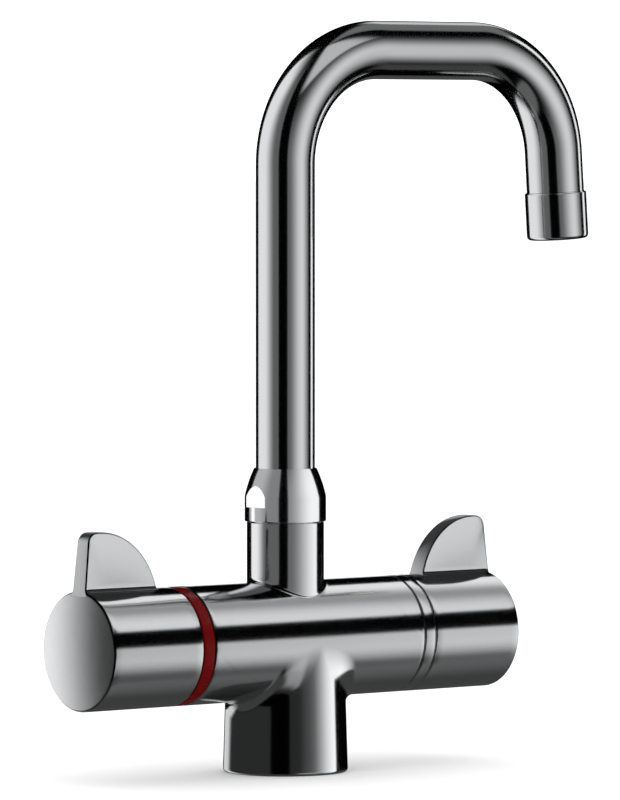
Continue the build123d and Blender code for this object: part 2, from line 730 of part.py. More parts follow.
def headwork_body():
    """The screwed body of the ceramic valve, with two windows beside the moving disc."""
    body = turned((spindle_bore, headwork_start), (headwork_stem_radius, headwork_start),
                  (headwork_stem_radius, headwork_land_start), (headwork_land_radius, headwork_land_start),
                  (headwork_land_radius, body_half_length), (collar_radius, body_half_length),
                  (collar_radius, collar_end), (nose_radius, collar_end), (nose_radius, nose_end),
                  (spindle_bore, nose_end))
    pocket = ring_about_z(0, disc_pocket_radius, headwork_start - 1, disc_pocket_end)
    windows = Pos(0, 0, moving_disc_start + headwork_window_length / 2) * Box(
        3 * headwork_stem_radius, headwork_window_width, headwork_window_length)
    ring_groove = groove(headwork_land_radius - ring_groove_depth, headwork_bore, headwork_ring_place,
                         ring_groove_width)
    return along_barrel(body - pocket - windows - ring_groove, 1)


def headwork_o_ring():
    floor = headwork_land_radius - ring_groove_depth
    return along_barrel(o_ring(floor, headwork_bore, headwork_ring_place), 1)


def collar_nut():
    """The nut over the socket's neck: a straight skirt, a bulged taper and two spanner flats."""
    skirt = Polyline((nut_bore, nut_top), (nut_bore, nut_bottom), (nut_radius, nut_bottom),
                     (nut_radius, nut_taper_start))
    taper = SagittaArc((nut_radius, nut_taper_start), (nut_top_radius, nut_top), nut_bulge)
    lid = Line((nut_top_radius, nut_top), (nut_bore, nut_top))
    nut = revolve(Plane.XZ * make_face(skirt + taper + lid), Axis.Z)
    nut = fillet(rims(nut, nut_radius, nut_bottom), nut_bottom_rounding)
    thread = ring_about_z(0, neck_radius + fixed_play, nut_bottom - 1, nut_shoulder)
    flat_bottom = nut_bottom + nut_flat_start
    flat_middle = nut_radius - nut_flat_depth + nut_radius / 2
    flat = Pos(flat_middle, 0, (flat_bottom + nut_top + 1) / 2) * Box(
        nut_radius, 2 * nut_radius, nut_top + 1 - flat_bottom)
    return nut - thread - around(2, flat)


def spout_slip_ring():
    """A plastic ring between the nut's shoulder and the split ring."""
    return ring_about_z(nut_bore, neck_radius - fixed_play, nut_shoulder - slip_ring_width, nut_shoulder)


def spout_retaining_ring():
    return split_ring(split_ring_groove + fixed_play, neck_radius - split_ring_step, split_ring_bottom,
                      split_ring_top, split_ring_opening)


def spout_spigot():
    """The turned end of the spout that stands in the socket, with its ring grooves."""
    plug_top = tube_start + spigot_plug_length
    spigot = turned((spigot_way_radius, spigot_bottom), (spigot_radius, spigot_bottom),
                    (spigot_radius, neck_top), (split_ring_groove, neck_top),
                    (split_ring_groove, shoulder_bottom), (tube_radius, shoulder_bottom),
                    (tube_radius, tube_start), (plug_radius, tube_start), (plug_radius, plug_top),
                    (spigot_way_radius, plug_top))
    return spigot - [groove(spigot_ring_floor, spout_bore, place, ring_groove_width)
                     for place in spigot_ring_places]


def spigot_o_rings():
    return Compound([o_ring(spigot_ring_floor, spout_bore, place) for place in spigot_ring_places])


def spout_path():
    """Centreline of the spout: up, over, along and down to the outlet's joint."""
    rise = Line((0, tube_start), (0, spout_height - rise_bend_radius))
    over = JernArc(rise @ 1, rise % 1, rise_bend_radius, -90)
    level = Line(over @ 1, (fall_bend_start, spout_height))
    fall = JernArc(level @ 1, level % 1, fall_bend_radius, -fall_turn)
    leg_end = (fall @ 1) + (fall % 1) * (outlet_leg - outlet_seam)
    return Plane.XZ * Wire([rise, over, level, fall, Line(fall @ 1, leg_end)])


def spout_tube():
    section = Plane.XY.offset(tube_start) * (Circle(tube_radius) - Circle(tube_bore))
    return sweep(section, path=spout_path())


def at_outlet(shape):
    """Place a piece made about +Z, which then points along the outflow from the outlet's joint."""
    turn = radians(fall_turn)
    joint_x = fall_bend_start + fall_bend_radius * sin(turn) + outlet_leg * cos(turn)
    joint_z = spout_height - fall_bend_radius * (1 - cos(turn)) - outlet_leg * sin(turn)
    return Pos(joint_x, 0, joint_z) * Rot(0, 90 + fall_turn, 0) * shape


def outlet_bush():
    """The threaded bush brazed into the tube's end."""
    bush = turned((outlet_way_radius, -bush_plug_length), (plug_radius, -bush_plug_length),
                  (plug_radius, -outlet_seam), (outlet_thread_radius, -outlet_seam),
                  (outlet_thread_radius, outlet_thread_length), (outlet_way_radius, outlet_thread_length))
    return at_outlet(bush)


def outlet_housing():
    """The screwed collar that holds the flow straightener."""
    bore = outlet_thread_radius + fixed_play
    seat = straightener_radius + fixed_play
    housing = turned((bore, outlet_seam), (outlet_radius, outlet_seam), (outlet_radius, outlet_length),
                     (outlet_lip_radius, outlet_length), (outlet_lip_radius, straightener_end),
                     (seat, straightener_end), (seat, straightener_start), (bore, straightener_start))
    return at_outlet(fillet(rims(housing, outlet_radius, outlet_length), outlet_rounding))


def outlet_seal():
    return at_outlet(ring_about_z(outlet_way_radius, outlet_thread_radius, outlet_thread_length,
                                  straightener_start))


def flow_straightener():
    """A disc with rings of small holes, seated on the housing's lip."""
    disc = ring_about_z(0, straightener_radius, straightener_start, straightener_end)
    hole = ring_about_z(0, straightener_hole_radius, straightener_start - 1, straightener_end + 1)
    holes = [hole]
    for ring in range(1, straightener_rings + 1):
        holes += around(6 * ring, Pos(ring * straightener_hole_pitch, 0, 0) * hole)
    return at_outlet(disc - holes)


parts = {
    "body_casting": body_casting(),
    "base_seal": base_seal(),
    "hot_check_valve": check_valve(-inlet_offset),
    "cold_check_valve": check_valve(inlet_offset),
    "hot_inlet_filter": inlet_filter(-inlet_offset),
    "cold_inlet_filter": inlet_filter(inlet_offset),
    "cartridge_sleeve": cartridge_sleeve(),
    "cartridge_o_rings": cartridge_o_rings(),
    "hot_strainer": strainer(hot_port_place),
    "cold_strainer": strainer(cold_port_place),
    "cartridge_cap": cartridge_cap(),
    "cap_o_ring": cap_o_ring(),
    "red_stop_ring": side_ring(-1),
    "chrome_cover_ring": side_ring(1),
    "headwork_body": headwork_body(),
    "headwork_o_ring": headwork_o_ring(),
    "fixed_ceramic_disc": fixed_ceramic_disc(),
    "headwork_seal": headwork_seal(),
    "collar_nut": collar_nut(),
    "spout_slip_ring": spout_slip_ring(),
    "temperature_handle": handle(-1),
    "temperature_spline_insert": spline_insert(-1),
    "temperature_grub_screw": grub_screw(-1),
    "temperature_spindle": temperature_spindle(),
    "temperature_spindle_o_ring": shaft_o_ring(-1),
    "temperature_spindle_clip": spindle_clip(-1),
    "drive_nut": drive_nut(),
    "overload_cup": overload_cup(),
    "overload_spring": overload_spring(),
    "wax_element": wax_element(),
    "mixing_shuttle": mixing_shuttle(),
    "shuttle_o_ring": shuttle_o_ring(),
    "return_spring": return_spring(),
    "flow_handle": handle(1),
    "flow_spline_insert": spline_insert(1),
    "flow_grub_screw": grub_screw(1),
    "flow_spindle": flow_spindle(),
    "flow_spindle_o_ring": shaft_o_ring(1),
    "flow_spindle_clip": spindle_clip(1),
    "moving_ceramic_disc": moving_ceramic_disc(),
    "spout_tube": spout_tube(),
    "spout_spigot": spout_spigot(),
    "spigot_o_rings": spigot_o_rings(),
    "spout_retaining_ring": spout_retaining_ring(),
    "outlet_bush": outlet_bush(),
    "outlet_housing": outlet_housing(),
    "flow_straightener": flow_straightener(),
    "outlet_seal": outlet_seal(),
}

for node, shape in parts.items():
    export_step(shape, f"parts/{node}.step")
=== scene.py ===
import json
from collections import namedtuple
from math import atan2, ceil, cos, degrees, pi, radians, sin, sqrt

import bmesh
import bpy
import numpy as np
from mathutils import Matrix, Vector


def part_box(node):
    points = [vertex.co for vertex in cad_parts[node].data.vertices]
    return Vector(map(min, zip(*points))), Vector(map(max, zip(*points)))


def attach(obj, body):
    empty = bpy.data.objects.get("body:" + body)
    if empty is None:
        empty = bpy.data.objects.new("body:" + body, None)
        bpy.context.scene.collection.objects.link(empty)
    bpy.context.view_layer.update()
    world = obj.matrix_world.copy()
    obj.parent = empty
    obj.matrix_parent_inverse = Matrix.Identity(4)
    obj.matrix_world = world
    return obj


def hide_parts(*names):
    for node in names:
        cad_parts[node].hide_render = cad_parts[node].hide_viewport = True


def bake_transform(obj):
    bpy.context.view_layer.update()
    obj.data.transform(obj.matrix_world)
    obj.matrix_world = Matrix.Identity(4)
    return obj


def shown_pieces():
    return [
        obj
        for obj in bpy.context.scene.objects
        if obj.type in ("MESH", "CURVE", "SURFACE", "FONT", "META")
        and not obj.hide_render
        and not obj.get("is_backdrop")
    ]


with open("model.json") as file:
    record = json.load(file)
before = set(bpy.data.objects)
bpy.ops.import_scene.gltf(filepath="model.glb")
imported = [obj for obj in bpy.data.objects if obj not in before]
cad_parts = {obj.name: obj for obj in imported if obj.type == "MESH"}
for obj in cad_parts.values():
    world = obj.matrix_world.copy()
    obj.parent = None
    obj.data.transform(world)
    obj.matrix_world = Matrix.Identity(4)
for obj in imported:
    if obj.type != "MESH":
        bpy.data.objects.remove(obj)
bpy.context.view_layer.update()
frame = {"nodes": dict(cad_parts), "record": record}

bl_info = {
    "name": "Thermostatic basin mixer tap",
    "version": (1, 0, 0),
    "blender": (4, 5, 0),
    "location": "View3D > Sidebar > Tap",
    "description": "Makes the visible pieces of a basin mixer tap with two handles and a swivel spout",
    "category": "Add Mesh",
}

TEMPERATURE_SIDE = -1
FLOW_SIDE = 1
WELD_DISTANCE = 2e-7     # points that share a cell of this size become one
SAME_POINT = 1e-7        # stretches of an outline that end closer than this share a point
NEARLY = 1e-9            # metres that rounding errors stay under
TINY = 1e-12             # keeps a divisor from being zero
BARREL_COLUMNS = 288     # points round the barrel and the handles
SOCKET_EDGE = 0.0003     # rounding of the socket's shoulder
TUBE_EDGE = 0.00015      # chamfer at the tube's ends and at the outlet's joint line
CAP_RADIUS = 0.012       # level circle of the caps that close barrel and socket inside the metal
CAP_GAP = 0.0003         # half of the distance between those caps
FACE_PROUD = 0.00001     # how far a fin's outer edge stands over the handle's face
FACE_FLARE = 0.4         # share of a fin's flare that is left at the handle's face
BEND_ROWS = 73           # rows of the tube in each bend
NOISE_RANGE = (0.3, 0.7)  # nearly all of the soft noise lies between these


def node_size(node, axis):
    """How far a CAD node reaches along one axis, in metres."""
    low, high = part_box(node)
    return high[axis] - low[axis]


def length(description, default):
    return bpy.props.FloatProperty(description=description, default=default, min=0.0, unit="LENGTH",
                                   subtype="DISTANCE", precision=5)


def colour(description, hex_code):
    return bpy.props.FloatVectorProperty(description=description, size=3, subtype="COLOR",
                                         default=linear(hex_code), min=0.0, max=1.0)


def linear(hex_code):
    """Linear red, green and blue of an sRGB colour written as RRGGBB."""
    channels = [int(hex_code[i:i + 2], 16) / 255 for i in (0, 2, 4)]
    return tuple(c / 12.92 if c <= 0.04045 else ((c + 0.055) / 1.055) ** 2.4 for c in channels)


class TapBodySizes(bpy.types.PropertyGroup):
    """Sizes of the casting, the rings and the nut."""
    barrel_height: length("Axis of the barrel above the basin", 0.049)
    barrel_radius: length("Outside of barrel, rings and handles", node_size("red_stop_ring", 1) / 2)
    body_half_length: length("From the middle to an end face", node_size("body_casting", 0) / 2)
    end_rounding: length("Rounding of the barrel's end edges", 0.0008)
    foot_radius: length("The column at the basin", 0.0233)
    column_top_radius: length("The column at the barrel's axis", 0.0219)
    foot_rounding: length("Rounding of the foot's lower edge", 0.0013)
    column_blend: length("Radius where the column's sides run into the barrel", 0.007)
    front_blend: length("The same at the column's front and back", 0.04)
    socket_radius: length("The upright socket under the nut", 0.01435)
    socket_top: length("Height of the socket's shoulder", 0.093)
    socket_blend: length("Radius where the socket runs into the barrel", 0.002)
    neck_radius: length("Threaded neck inside the nut", 0.0126)
    neck_top: length("Height of the neck's end", 0.103)
    spout_bore: length("Bore for the spout's spigot", 0.0097)
    spout_bore_floor: length("Height of the bore's floor", 0.066)
    cartridge_bore: length("Chamber on the temperature side", 0.015)
    cartridge_floor: length("From the middle to that chamber's floor", 0.008)
    headwork_bore: length("Chamber on the flow side", 0.013)
    headwork_floor: length("From the middle to that chamber's floor", 0.003)
    seal_outer: length("Outer radius of the foot's seal groove", 0.0204)
    seal_inner: length("Inner radius of the foot's seal groove", 0.0174)
    seal_depth: length("Depth of the foot's seal groove", 0.002)
    stud_radius: length("Hole for the fixing stud", 0.0034)
    stud_depth: length("Depth of the hole for the fixing stud", 0.016)
    inlet_offset: length("From the middle to each inlet", 0.0105)
    inlet_radius: length("Threaded mouth of an inlet", 0.0045)
    inlet_depth: length("Depth of an inlet's threaded mouth", 0.011)
    pocket_radius: length("Pocket of a check valve", 0.0043)
    pocket_top: length("Height of a pocket's end", 0.026)
    ring_start: length("From the middle to a ring's inner face", 0.0499)
    ring_end: length("From the middle to a ring's outer face", 0.0547)
    ring_bore: length("Inner radius of a ring", 0.01755)
    ring_rounding: length("Rounding of a ring's edges", 0.0005)
    nut_radius: length("The nut's straight skirt", 0.01515)
    nut_bottom: length("Height of the nut's lower edge", 0.0933)
    nut_taper_start: length("Height where the nut starts to narrow", 0.1026)
    nut_top: length("Height of the nut's upper edge", 0.113)
    nut_top_radius: length("The nut around the tube", 0.01166)
    nut_bulge: length("How far the taper swells", 0.00031)
    nut_bore: length("Bore around the tube", 0.01116)
    nut_thread: length("Thread over the neck", 0.01265)
    nut_shoulder: length("Height of the shoulder over the slip ring", 0.106)
    nut_flat: length("From the axis to a spanner flat", 0.0141)
    nut_flat_bottom: length("Height of the ledge under a flat", 0.0987)
    nut_rounding: length("Rounding of the nut's lower edge", 0.0004)


class TapHandleSizes(bpy.types.PropertyGroup):
    """Sizes of the two handles."""
    start: length("From the middle to a handle's mouth", 0.055)
    end: length("From the middle to the rim of a handle's face", 0.0957)
    dome: length("How far the face swells in its middle", 0.0006)
    rim_rounding: length("Rounding of the face's edge", 0.0008)
    mouth_rounding: length("Rounding of the mouth's edge", 0.0008)
    wall: length("Thickness of the shell", 0.0035)
    face: length("Thickness of the face", 0.004)
    hub_start: length("From the middle to the hub's free end", 0.064)
    hub_radius: length("Outside of the hub", 0.01)
    hub_bore: length("Bore for the spline insert", 0.00705)
    hub_bore_end: length("From the middle to the end of the hub's bore", 0.07725)
    screw_place: length("From the middle to the grub screw", 0.0711)
    screw_hole: length("Hole for the grub screw", 0.00205)
    screw_hole_depth: length("How deep the screw hole shows", 0.0118)
    fin_root: length("Height where the fin starts inside the shell", 0.069)
    fin_top: length("Height of the fin's peak", 0.0924)
    fin_lean: length("How far the fin's outer edge leans in above the shell", 0.002)
    fin_curve_base: length("Height of the curve's centre", 0.064)
    fin_peak_inset: length("From the handle's rim in to the peak", 0.0075)
    fin_reach: length("From the peak in to the curve's end", 0.02585)
    fin_corner: length("Radius of the fin's outer corner", 0.004)
    fin_base: length("Thickness at the root", 0.008)
    fin_tip: length("Thickness at the peak", 0.0066)
    fin_rounding: length("Rounding of the fin's edges", 0.0005)
    fin_blend: length("Radius where the fin runs into the shell", 0.002)
    fin_crown: length("How far a fin's face swells in its middle", 0.0002)


class TapSpoutSizes(bpy.types.PropertyGroup):
    """Sizes of the swivel spout."""
    tube_radius: length("Outside of the tube", node_size("spout_tube", 1) / 2)
    tube_wall: length("Thickness of the tube", 0.0015)
    tube_start: length("Height of the tube's lower end", 0.10705)
    height: length("Centreline of the level run", 0.2687)
    rise_bend: length("Radius of the bend over the tap", 0.043)
    fall_bend: length("Radius of the bend to the outlet", 0.041)
    fall_start: length("Distance from the tube's upright axis", 0.0904)
    fall_turn: bpy.props.FloatProperty(description="How far the last bend turns", default=radians(86),
                                       min=0.0, unit="ROTATION", subtype="ANGLE")
    leg: length("Straight end of the tube", 0.0156)
    seam: length("Half of the joint line at the outlet", 0.00015)
    housing_radius: length("Outside of the outlet housing", 0.0118)
    housing_length: length("Length of the outlet housing", 0.018)
    housing_rounding: length("Rounding of the outlet's edge", 0.0016)
    housing_bore: length("Thread over the bush", 0.01085)
    housing_spigot: length("Outer radius of the lip that closes the joint line", 0.01115)
    housing_seat: length("Seat of the flow straightener", 0.00995)
    housing_seat_start: length("From the joint to the seat", 0.01)
    housing_lip_start: length("From the joint to the lip", 0.017)
    housing_lip: length("The outlet's mouth", 0.009)


class TapSpringSizes(bpy.types.PropertyGroup):
    """Sizes of the thermostat's return spring."""
    start: length("From the middle to the spring's standing end", -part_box("return_spring")[1][0])
    end: length("From the middle to the spring's moving end", -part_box("return_spring")[0][0])
    coil_radius: length("From the axis to the middle of the wire", 0.00742)
    wire_radius: length("Radius of the wire", 0.0006)
    pitch: length("From coil to coil", 0.0029)


class TapColours(bpy.types.PropertyGroup):
    """Colours of the finishes."""
    chrome: colour("Reflected tint of the chrome plate", "D3D5D8")
    red: colour("The temperature side's ring", "580405")
    brass: colour("Machined brass inside the tap", "C9A765")
    rubber: colour("Seals and O-rings", "1C1C1D")
    plastic: colour("Moulded pieces inside the tap", "E4E3DE")
    steel: colour("Springs, clips and screws", "B7B8B9")
    copper: colour("The wax capsule", "C98A63")
    ceramic: colour("The valve's discs", "E9E4D8")
    floor: colour("The pale floor", "FAFAFA")


# Surfaces


def joined(*parts):
    """Coordinates side by side in a last axis; single numbers are spread over the arrays beside them."""
    return np.stack(np.broadcast_arrays(*parts), axis=-1)


def unit(vectors):
    return vectors / np.linalg.norm(vectors, axis=-1, keepdims=True)


def even_steps(count):
    """Evenly spread values from 0 to 1."""
    return np.linspace(0.0, 1.0, count)


def arc(centre, radius, start, end, count):
    """Points of a circle's arc in a plane, as (first, second) coordinates; angles in degrees."""
    angles = np.radians(np.linspace(start, end, count))
    return joined(centre[0] + radius * np.cos(angles), centre[1] + radius * np.sin(angles))


def spread(start, end, step):
    """Points of a straight line between two corners, at most one step apart."""
    count = max(2, int(ceil(np.linalg.norm(np.subtract(end, start)) / step)) + 1)
    return np.linspace(start, end, count)


def profile(*stretches):
    """One outline from several stretches of points, without the points that two stretches share."""
    points = np.concatenate([np.atleast_2d(np.asarray(s, float)) for s in stretches])
    kept = np.ones(len(points), bool)
    kept[1:] = np.linalg.norm(np.diff(points, axis=0), axis=1) > SAME_POINT
    return points[kept]


def turn_profile(outline, angles):
    """Lathe surface: radius r and height h turned through angle a give (r cos a, r sin a, h)."""
    r, h = outline[:, 0][:, None], outline[:, 1][:, None]
    return joined(r * np.cos(angles), r * np.sin(angles), h)


def full_turn(count):
    return np.linspace(0.0, 2 * pi, count, endpoint=False)


def ruled(first, second, rows):
    """Straight lines between matching points of two curves: first + (second - first) * t."""
    return first + (second - first) * even_steps(rows)[:, None, None]


def swung(centre, radius, start, end, rows):
    """Rolling-ball blend: each row turns the unit direction start towards end about the ball's centre."""
    dot = np.clip(np.sum(start * end, axis=-1), -1, 1)
    angle = np.arccos(dot)[:, None]
    t = even_steps(rows)[:, None, None]
    toward = (np.sin((1 - t) * angle) * start + np.sin(t * angle) * end) / np.sin(angle)
    return centre + radius * toward


def along_barrel(points, side, barrel_height):
    """Lay points made about +Z along the barrel: the height becomes the distance to one side."""
    x, y, z = points[..., 0], points[..., 1], points[..., 2]
    return joined(side * z, y * side, barrel_height - x)


def placed(points, origin, direction):
    """Move points made about +Z so that they start at an origin and run along a direction with no Y."""
    side = np.array([direction[2], 0.0, -direction[0]])
    across = np.cross(direction, side)
    x, y, z = points[..., 0:1], points[..., 1:2], points[..., 2:3]
    return origin + x * side + y * across + z * direction


def grid_triangles(points, offset):
    """Two triangles for each cell of a grid of points, whose last column is joined to the first."""
    rows, columns = points.shape[:2]
    index = np.arange(rows * columns).reshape(rows, columns) + offset
    index = np.concatenate([index, index[:, :1]], axis=1)
    a, b, c, d = index[:-1, :-1], index[1:, :-1], index[1:, 1:], index[:-1, 1:]
    return np.concatenate([joined(a, b, c).reshape(-1, 3), joined(a, c, d).reshape(-1, 3)])


def weld(grids):
    """Vertices and triangles of several grids, with shared points joined and empty triangles left out."""
    vertices, triangles, offset = [], [], 0
    for points in grids:
        vertices.append(points.reshape(-1, 3))
        triangles.append(grid_triangles(points, offset))
        offset += points.shape[0] * points.shape[1]
    vertices, triangles = np.concatenate(vertices), np.concatenate(triangles)
    keys = np.round(vertices / WELD_DISTANCE).astype(np.int64)
    _, first, inverse = np.unique(keys, axis=0, return_index=True, return_inverse=True)
    triangles = inverse.reshape(-1)[triangles]
    a, b, c = triangles.T
    return vertices[first], triangles[(a != b) & (b != c) & (c != a)]


def add_object(name, data):
    made = bpy.data.objects.new(name, data)
    bpy.context.scene.collection.objects.link(made)
    return made


def face_outwards(mesh):
    """Turns all faces of a closed mesh outwards."""
    work = bmesh.new()
    work.from_mesh(mesh)
    bmesh.ops.recalc_face_normals(work, faces=work.faces)
    work.to_mesh(mesh)
    work.free()


def make_piece(name, grids, slot, body, node, sharp=32):
    """A mesh object with its slot's finish that stands for one CAD node, shaded smooth except where faces
    turn by more than the sharp angle; it rides on a body, or on none."""
    vertices, triangles = weld(grids)
    mesh = bpy.data.meshes.new(name)
    mesh.vertices.add(len(vertices))
    mesh.vertices.foreach_set("co", vertices.astype(np.float32).ravel())
    mesh.loops.add(triangles.size)
    mesh.loops.foreach_set("vertex_index", triangles.astype(np.int32).ravel())
    mesh.polygons.add(len(triangles))
    mesh.polygons.foreach_set("loop_start", np.arange(0, triangles.size, 3, dtype=np.int32))
    mesh.update(calc_edges=True)
    mesh.validate()
    face_outwards(mesh)
    mesh.shade_smooth()
    mesh.set_sharp_from_angle(angle=radians(sharp))
    mesh.materials.append(finish(slot))
    piece = add_object(name, mesh)
    if body:
        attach(piece, body)
    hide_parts(node)
    return piece


# Body casting


def quarter_angles(half_length, half_turn_length, band):
    """Directions all round a barrel half, alike on both sides, with its four corners and the underside's
    bands."""
    angles = set(np.round(full_turn(BARREL_COLUMNS), 12))
    for a in (atan2(half_turn_length, half_length), band):
        angles.update(np.round([a, pi - a, pi + a, 2 * pi - a], 12))
    angles = np.array(sorted(angles))
    return angles[np.concatenate([[True], np.diff(angles) > 1e-6])]


def window_edge(angles, half_length, half_turn_length):
    """Where directions from the middle of a rectangle meet its edge, as (along, around) distances."""
    c, s = np.cos(angles), np.sin(angles)
    reach = np.minimum(half_length / np.maximum(np.abs(c), TINY),
                       half_turn_length / np.maximum(np.abs(s), TINY))
    return reach * c, reach * s


def socket_ball(angles, sizes):
    """Centre of a ball that rolls between barrel and socket: its distances are R+b and S+b."""
    b = sizes.socket_blend
    reach = sizes.socket_radius + b
    x, y = reach * np.cos(angles), reach * np.sin(angles)
    z = sizes.barrel_height + np.sqrt((sizes.barrel_radius + b)**2 - y**2)
    return joined(x, y, z)


def column_blend_radius(angles, sizes):
    """Side radius + (front radius - side radius) * sin^10 a: widest where column and barrel nearly touch."""
    return sizes.column_blend + (sizes.front_blend - sizes.column_blend) * np.sin(angles)**10


def column_slope(sizes):
    return (sizes.foot_radius - sizes.column_top_radius) / sizes.barrel_height


def column_ball(angles, sizes):
    """The same between barrel and tapered column; its height is found by repeated halving of the error."""
    b = column_blend_radius(angles, sizes)
    slope = column_slope(sizes)
    stretch = sqrt(1 + slope**2)
    z = np.full_like(angles, sizes.barrel_height - sizes.barrel_radius)
    for _ in range(200):
        touch = z - b * slope / stretch
        reach = sizes.foot_radius - slope * touch + b / stretch
        inside = np.maximum((sizes.barrel_radius + b)**2 - (reach * np.sin(angles))**2, 0)
        z = (z + sizes.barrel_height - np.sqrt(inside)) / 2
    centre = joined(reach * np.cos(angles), reach * np.sin(angles), z)
    outward = joined(np.cos(angles), np.sin(angles), slope) / stretch
    return centre, outward


def toward_barrel_axis(centre, sizes):
    return unit(-centre * np.array([0, 1, 1]) + np.array([0, 0, sizes.barrel_height]))


def half_barrel(centre, angles, upward, sizes):
    """Upper (1) or lower (-1) half of the barrel, from a blend's edge out to a rectangle of its unrolled
    surface; its rows crowd towards the blend. Also gives the angles of its two ends."""
    r = sizes.barrel_radius
    flat_length = sizes.body_half_length - sizes.end_rounding
    along, around = window_edge(angles, flat_length, r * pi / 2)
    edge_turn = upward * (pi / 2 - around / r)
    hole_turn = np.arctan2(centre[:, 2] - sizes.barrel_height, centre[:, 1])
    if upward < 0:
        hole_turn = np.where(hole_turn > 0, hole_turn - 2 * pi, hole_turn)
    t = (even_steps(26) ** 1.3)[:, None]
    x = centre[:, 0] + (along - centre[:, 0]) * t
    turn = hole_turn + (edge_turn - hole_turn) * t
    ends = [np.sort(edge_turn[np.abs(along - side * flat_length) < NEARLY]) for side in (-1, 1)]
    return joined(x, r * np.cos(turn), sizes.barrel_height + r * np.sin(turn)), ends


def barrel_end(side, turns, bore, floor, sizes):
    """Rounded edge, end face, chamber wall and floor at one end of the barrel."""
    r, e, end = sizes.barrel_radius, sizes.end_rounding, sizes.body_half_length
    rounding = arc((r - e, end - e), e, 0, 90, 9)
    outline = profile(rounding, spread((r - e, end), (bore, end), 0.002),
                      spread((bore, end), (bore, floor), 0.004), spread((bore, floor), (0, floor), 0.003))
    radius, x = outline[:, 0][:, None], side * outline[:, 1][:, None]
    return joined(x, radius * np.cos(turns), sizes.barrel_height + radius * np.sin(turns))


def hole_in_face(edge, centre, radius, rows):
    """Flat face between a closed edge and a round hole: lines from the edge straight at the middle."""
    middle = np.array([*centre, 0.0])
    rim = middle + radius * unit(edge - middle)
    return ruled(edge, rim, rows), rim


def bored(rim, centre, steps):
    """Walls of a stepped hole: each step gives a radius and a height that the hole's edge moves to."""
    middle = np.array([*centre, 0.0])
    outward = unit(rim - middle)
    rows = [rim] + [middle + r * outward + np.array([0, 0, h]) for r, h in steps]
    return np.stack(rows)


def band_edge(sizes):
    """How far from the middle the flat under the foot is cut, between the stud hole and an inlet."""
    return (sizes.stud_radius + sizes.inlet_offset - sizes.inlet_radius) / 2


def foot_underside(angles, sizes):
    """The flat inside the seal groove, cut in three bands so that each has one hole."""
    r, line = sizes.seal_inner, band_edge(sizes)
    reach = sqrt(r**2 - line**2)
    circle = joined(r * np.cos(angles), r * np.sin(angles), 0)
    across = joined(np.linspace(-reach, reach, 25), line, 0)
    flip = np.array([1, -1, 1])
    middle_band = np.abs(circle[:, 1]) < line - NEARLY
    right, left = (circle[middle_band & (side * circle[:, 0] > 0)] for side in (1, -1))
    stud_edge = np.concatenate([across * flip, right[np.argsort(right[:, 1])], across[::-1],
                                left[np.argsort(-left[:, 1])]])
    back_edge = np.concatenate([across, circle[circle[:, 1] > line + NEARLY]])
    front_edge = np.concatenate([(across * flip)[::-1], circle[circle[:, 1] < -line - NEARLY]])
    stud = [(sizes.stud_radius, sizes.stud_depth), (0, sizes.stud_depth)]
    inlet = [(sizes.inlet_radius, sizes.inlet_depth), (sizes.pocket_radius, sizes.inlet_depth),
             (sizes.pocket_radius, sizes.pocket_top), (0, sizes.pocket_top)]
    patches = []
    for edge, y, steps in ((stud_edge, 0, stud), (back_edge, sizes.inlet_offset, inlet),
                           (front_edge, -sizes.inlet_offset, inlet)):
        face, rim = hole_in_face(edge, (0, y), steps[0][0], 4)
        patches += [face, bored(rim, (0, y), steps)]
    return patches


def inner_cap(edge, spin, height):
    """Closes a piece inside the metal: lines from an edge in to a level circle, and on to its middle."""
    middle = np.array([0.0, 0.0, height]) + 0 * spin
    return np.stack([edge, middle + CAP_RADIUS * spin, middle])


def upper_patches(angles, spin, sizes):
    """The barrel's upper half, the socket with its blend, neck and bore, and the half's end angles."""
    ball = socket_ball(angles, sizes)
    upper, ends = half_barrel(ball, 2 * pi - angles, 1, sizes)
    blend = swung(ball, sizes.socket_blend, -spin, toward_barrel_axis(ball, sizes), 14)
    s, top, edge = sizes.socket_radius, sizes.socket_top, SOCKET_EDGE
    wall_top = s * spin + np.array([0, 0, top - edge])
    neck_foot, neck_top = (sizes.neck_radius, top), (sizes.neck_radius, sizes.neck_top)
    bore_top, bore_floor = (sizes.spout_bore, sizes.neck_top), (sizes.spout_bore, sizes.spout_bore_floor)
    outline = profile(arc((s - edge, top - edge), edge, 0, 90, 5), spread(neck_foot, neck_top, 0.005),
                      spread(bore_top, bore_floor, 0.01), [(0, sizes.spout_bore_floor)])
    metal = (sizes.barrel_height + sizes.cartridge_bore + sizes.spout_bore_floor) / 2
    socket = [blend, ruled(blend[0], wall_top, 8), turn_profile(outline, angles),
              inner_cap(blend[-1], spin, metal + CAP_GAP)]
    return [upper, inner_cap(upper[0], spin, metal - CAP_GAP)], socket, ends


def lower_patches(angles, spin, sizes):
    """The barrel's lower half, the column down to the foot's underside, and the half's end angles."""
    ball, outward = column_ball(angles, sizes)
    lower, ends = half_barrel(ball, angles, -1, sizes)
    radius = column_blend_radius(angles, sizes)[:, None]
    blend = swung(ball, radius, -outward, toward_barrel_axis(ball, sizes), 24)
    slope, f = column_slope(sizes), sizes.foot_rounding
    centre = sizes.foot_radius - slope * f - f * sqrt(1 + slope**2)
    rounding = arc((centre, f), f, degrees(atan2(slope, 1)), -90, 12)
    wall_foot = rounding[0, 0] * spin + np.array([0, 0, rounding[0, 1]])
    underside = profile(rounding, [(sizes.seal_outer, 0), (sizes.seal_outer, sizes.seal_depth),
                                   (sizes.seal_inner, sizes.seal_depth), (sizes.seal_inner, 0)])
    return [lower, blend, ruled(blend[0], wall_foot, 10), turn_profile(underside, angles),
            *foot_underside(angles, sizes)], ends


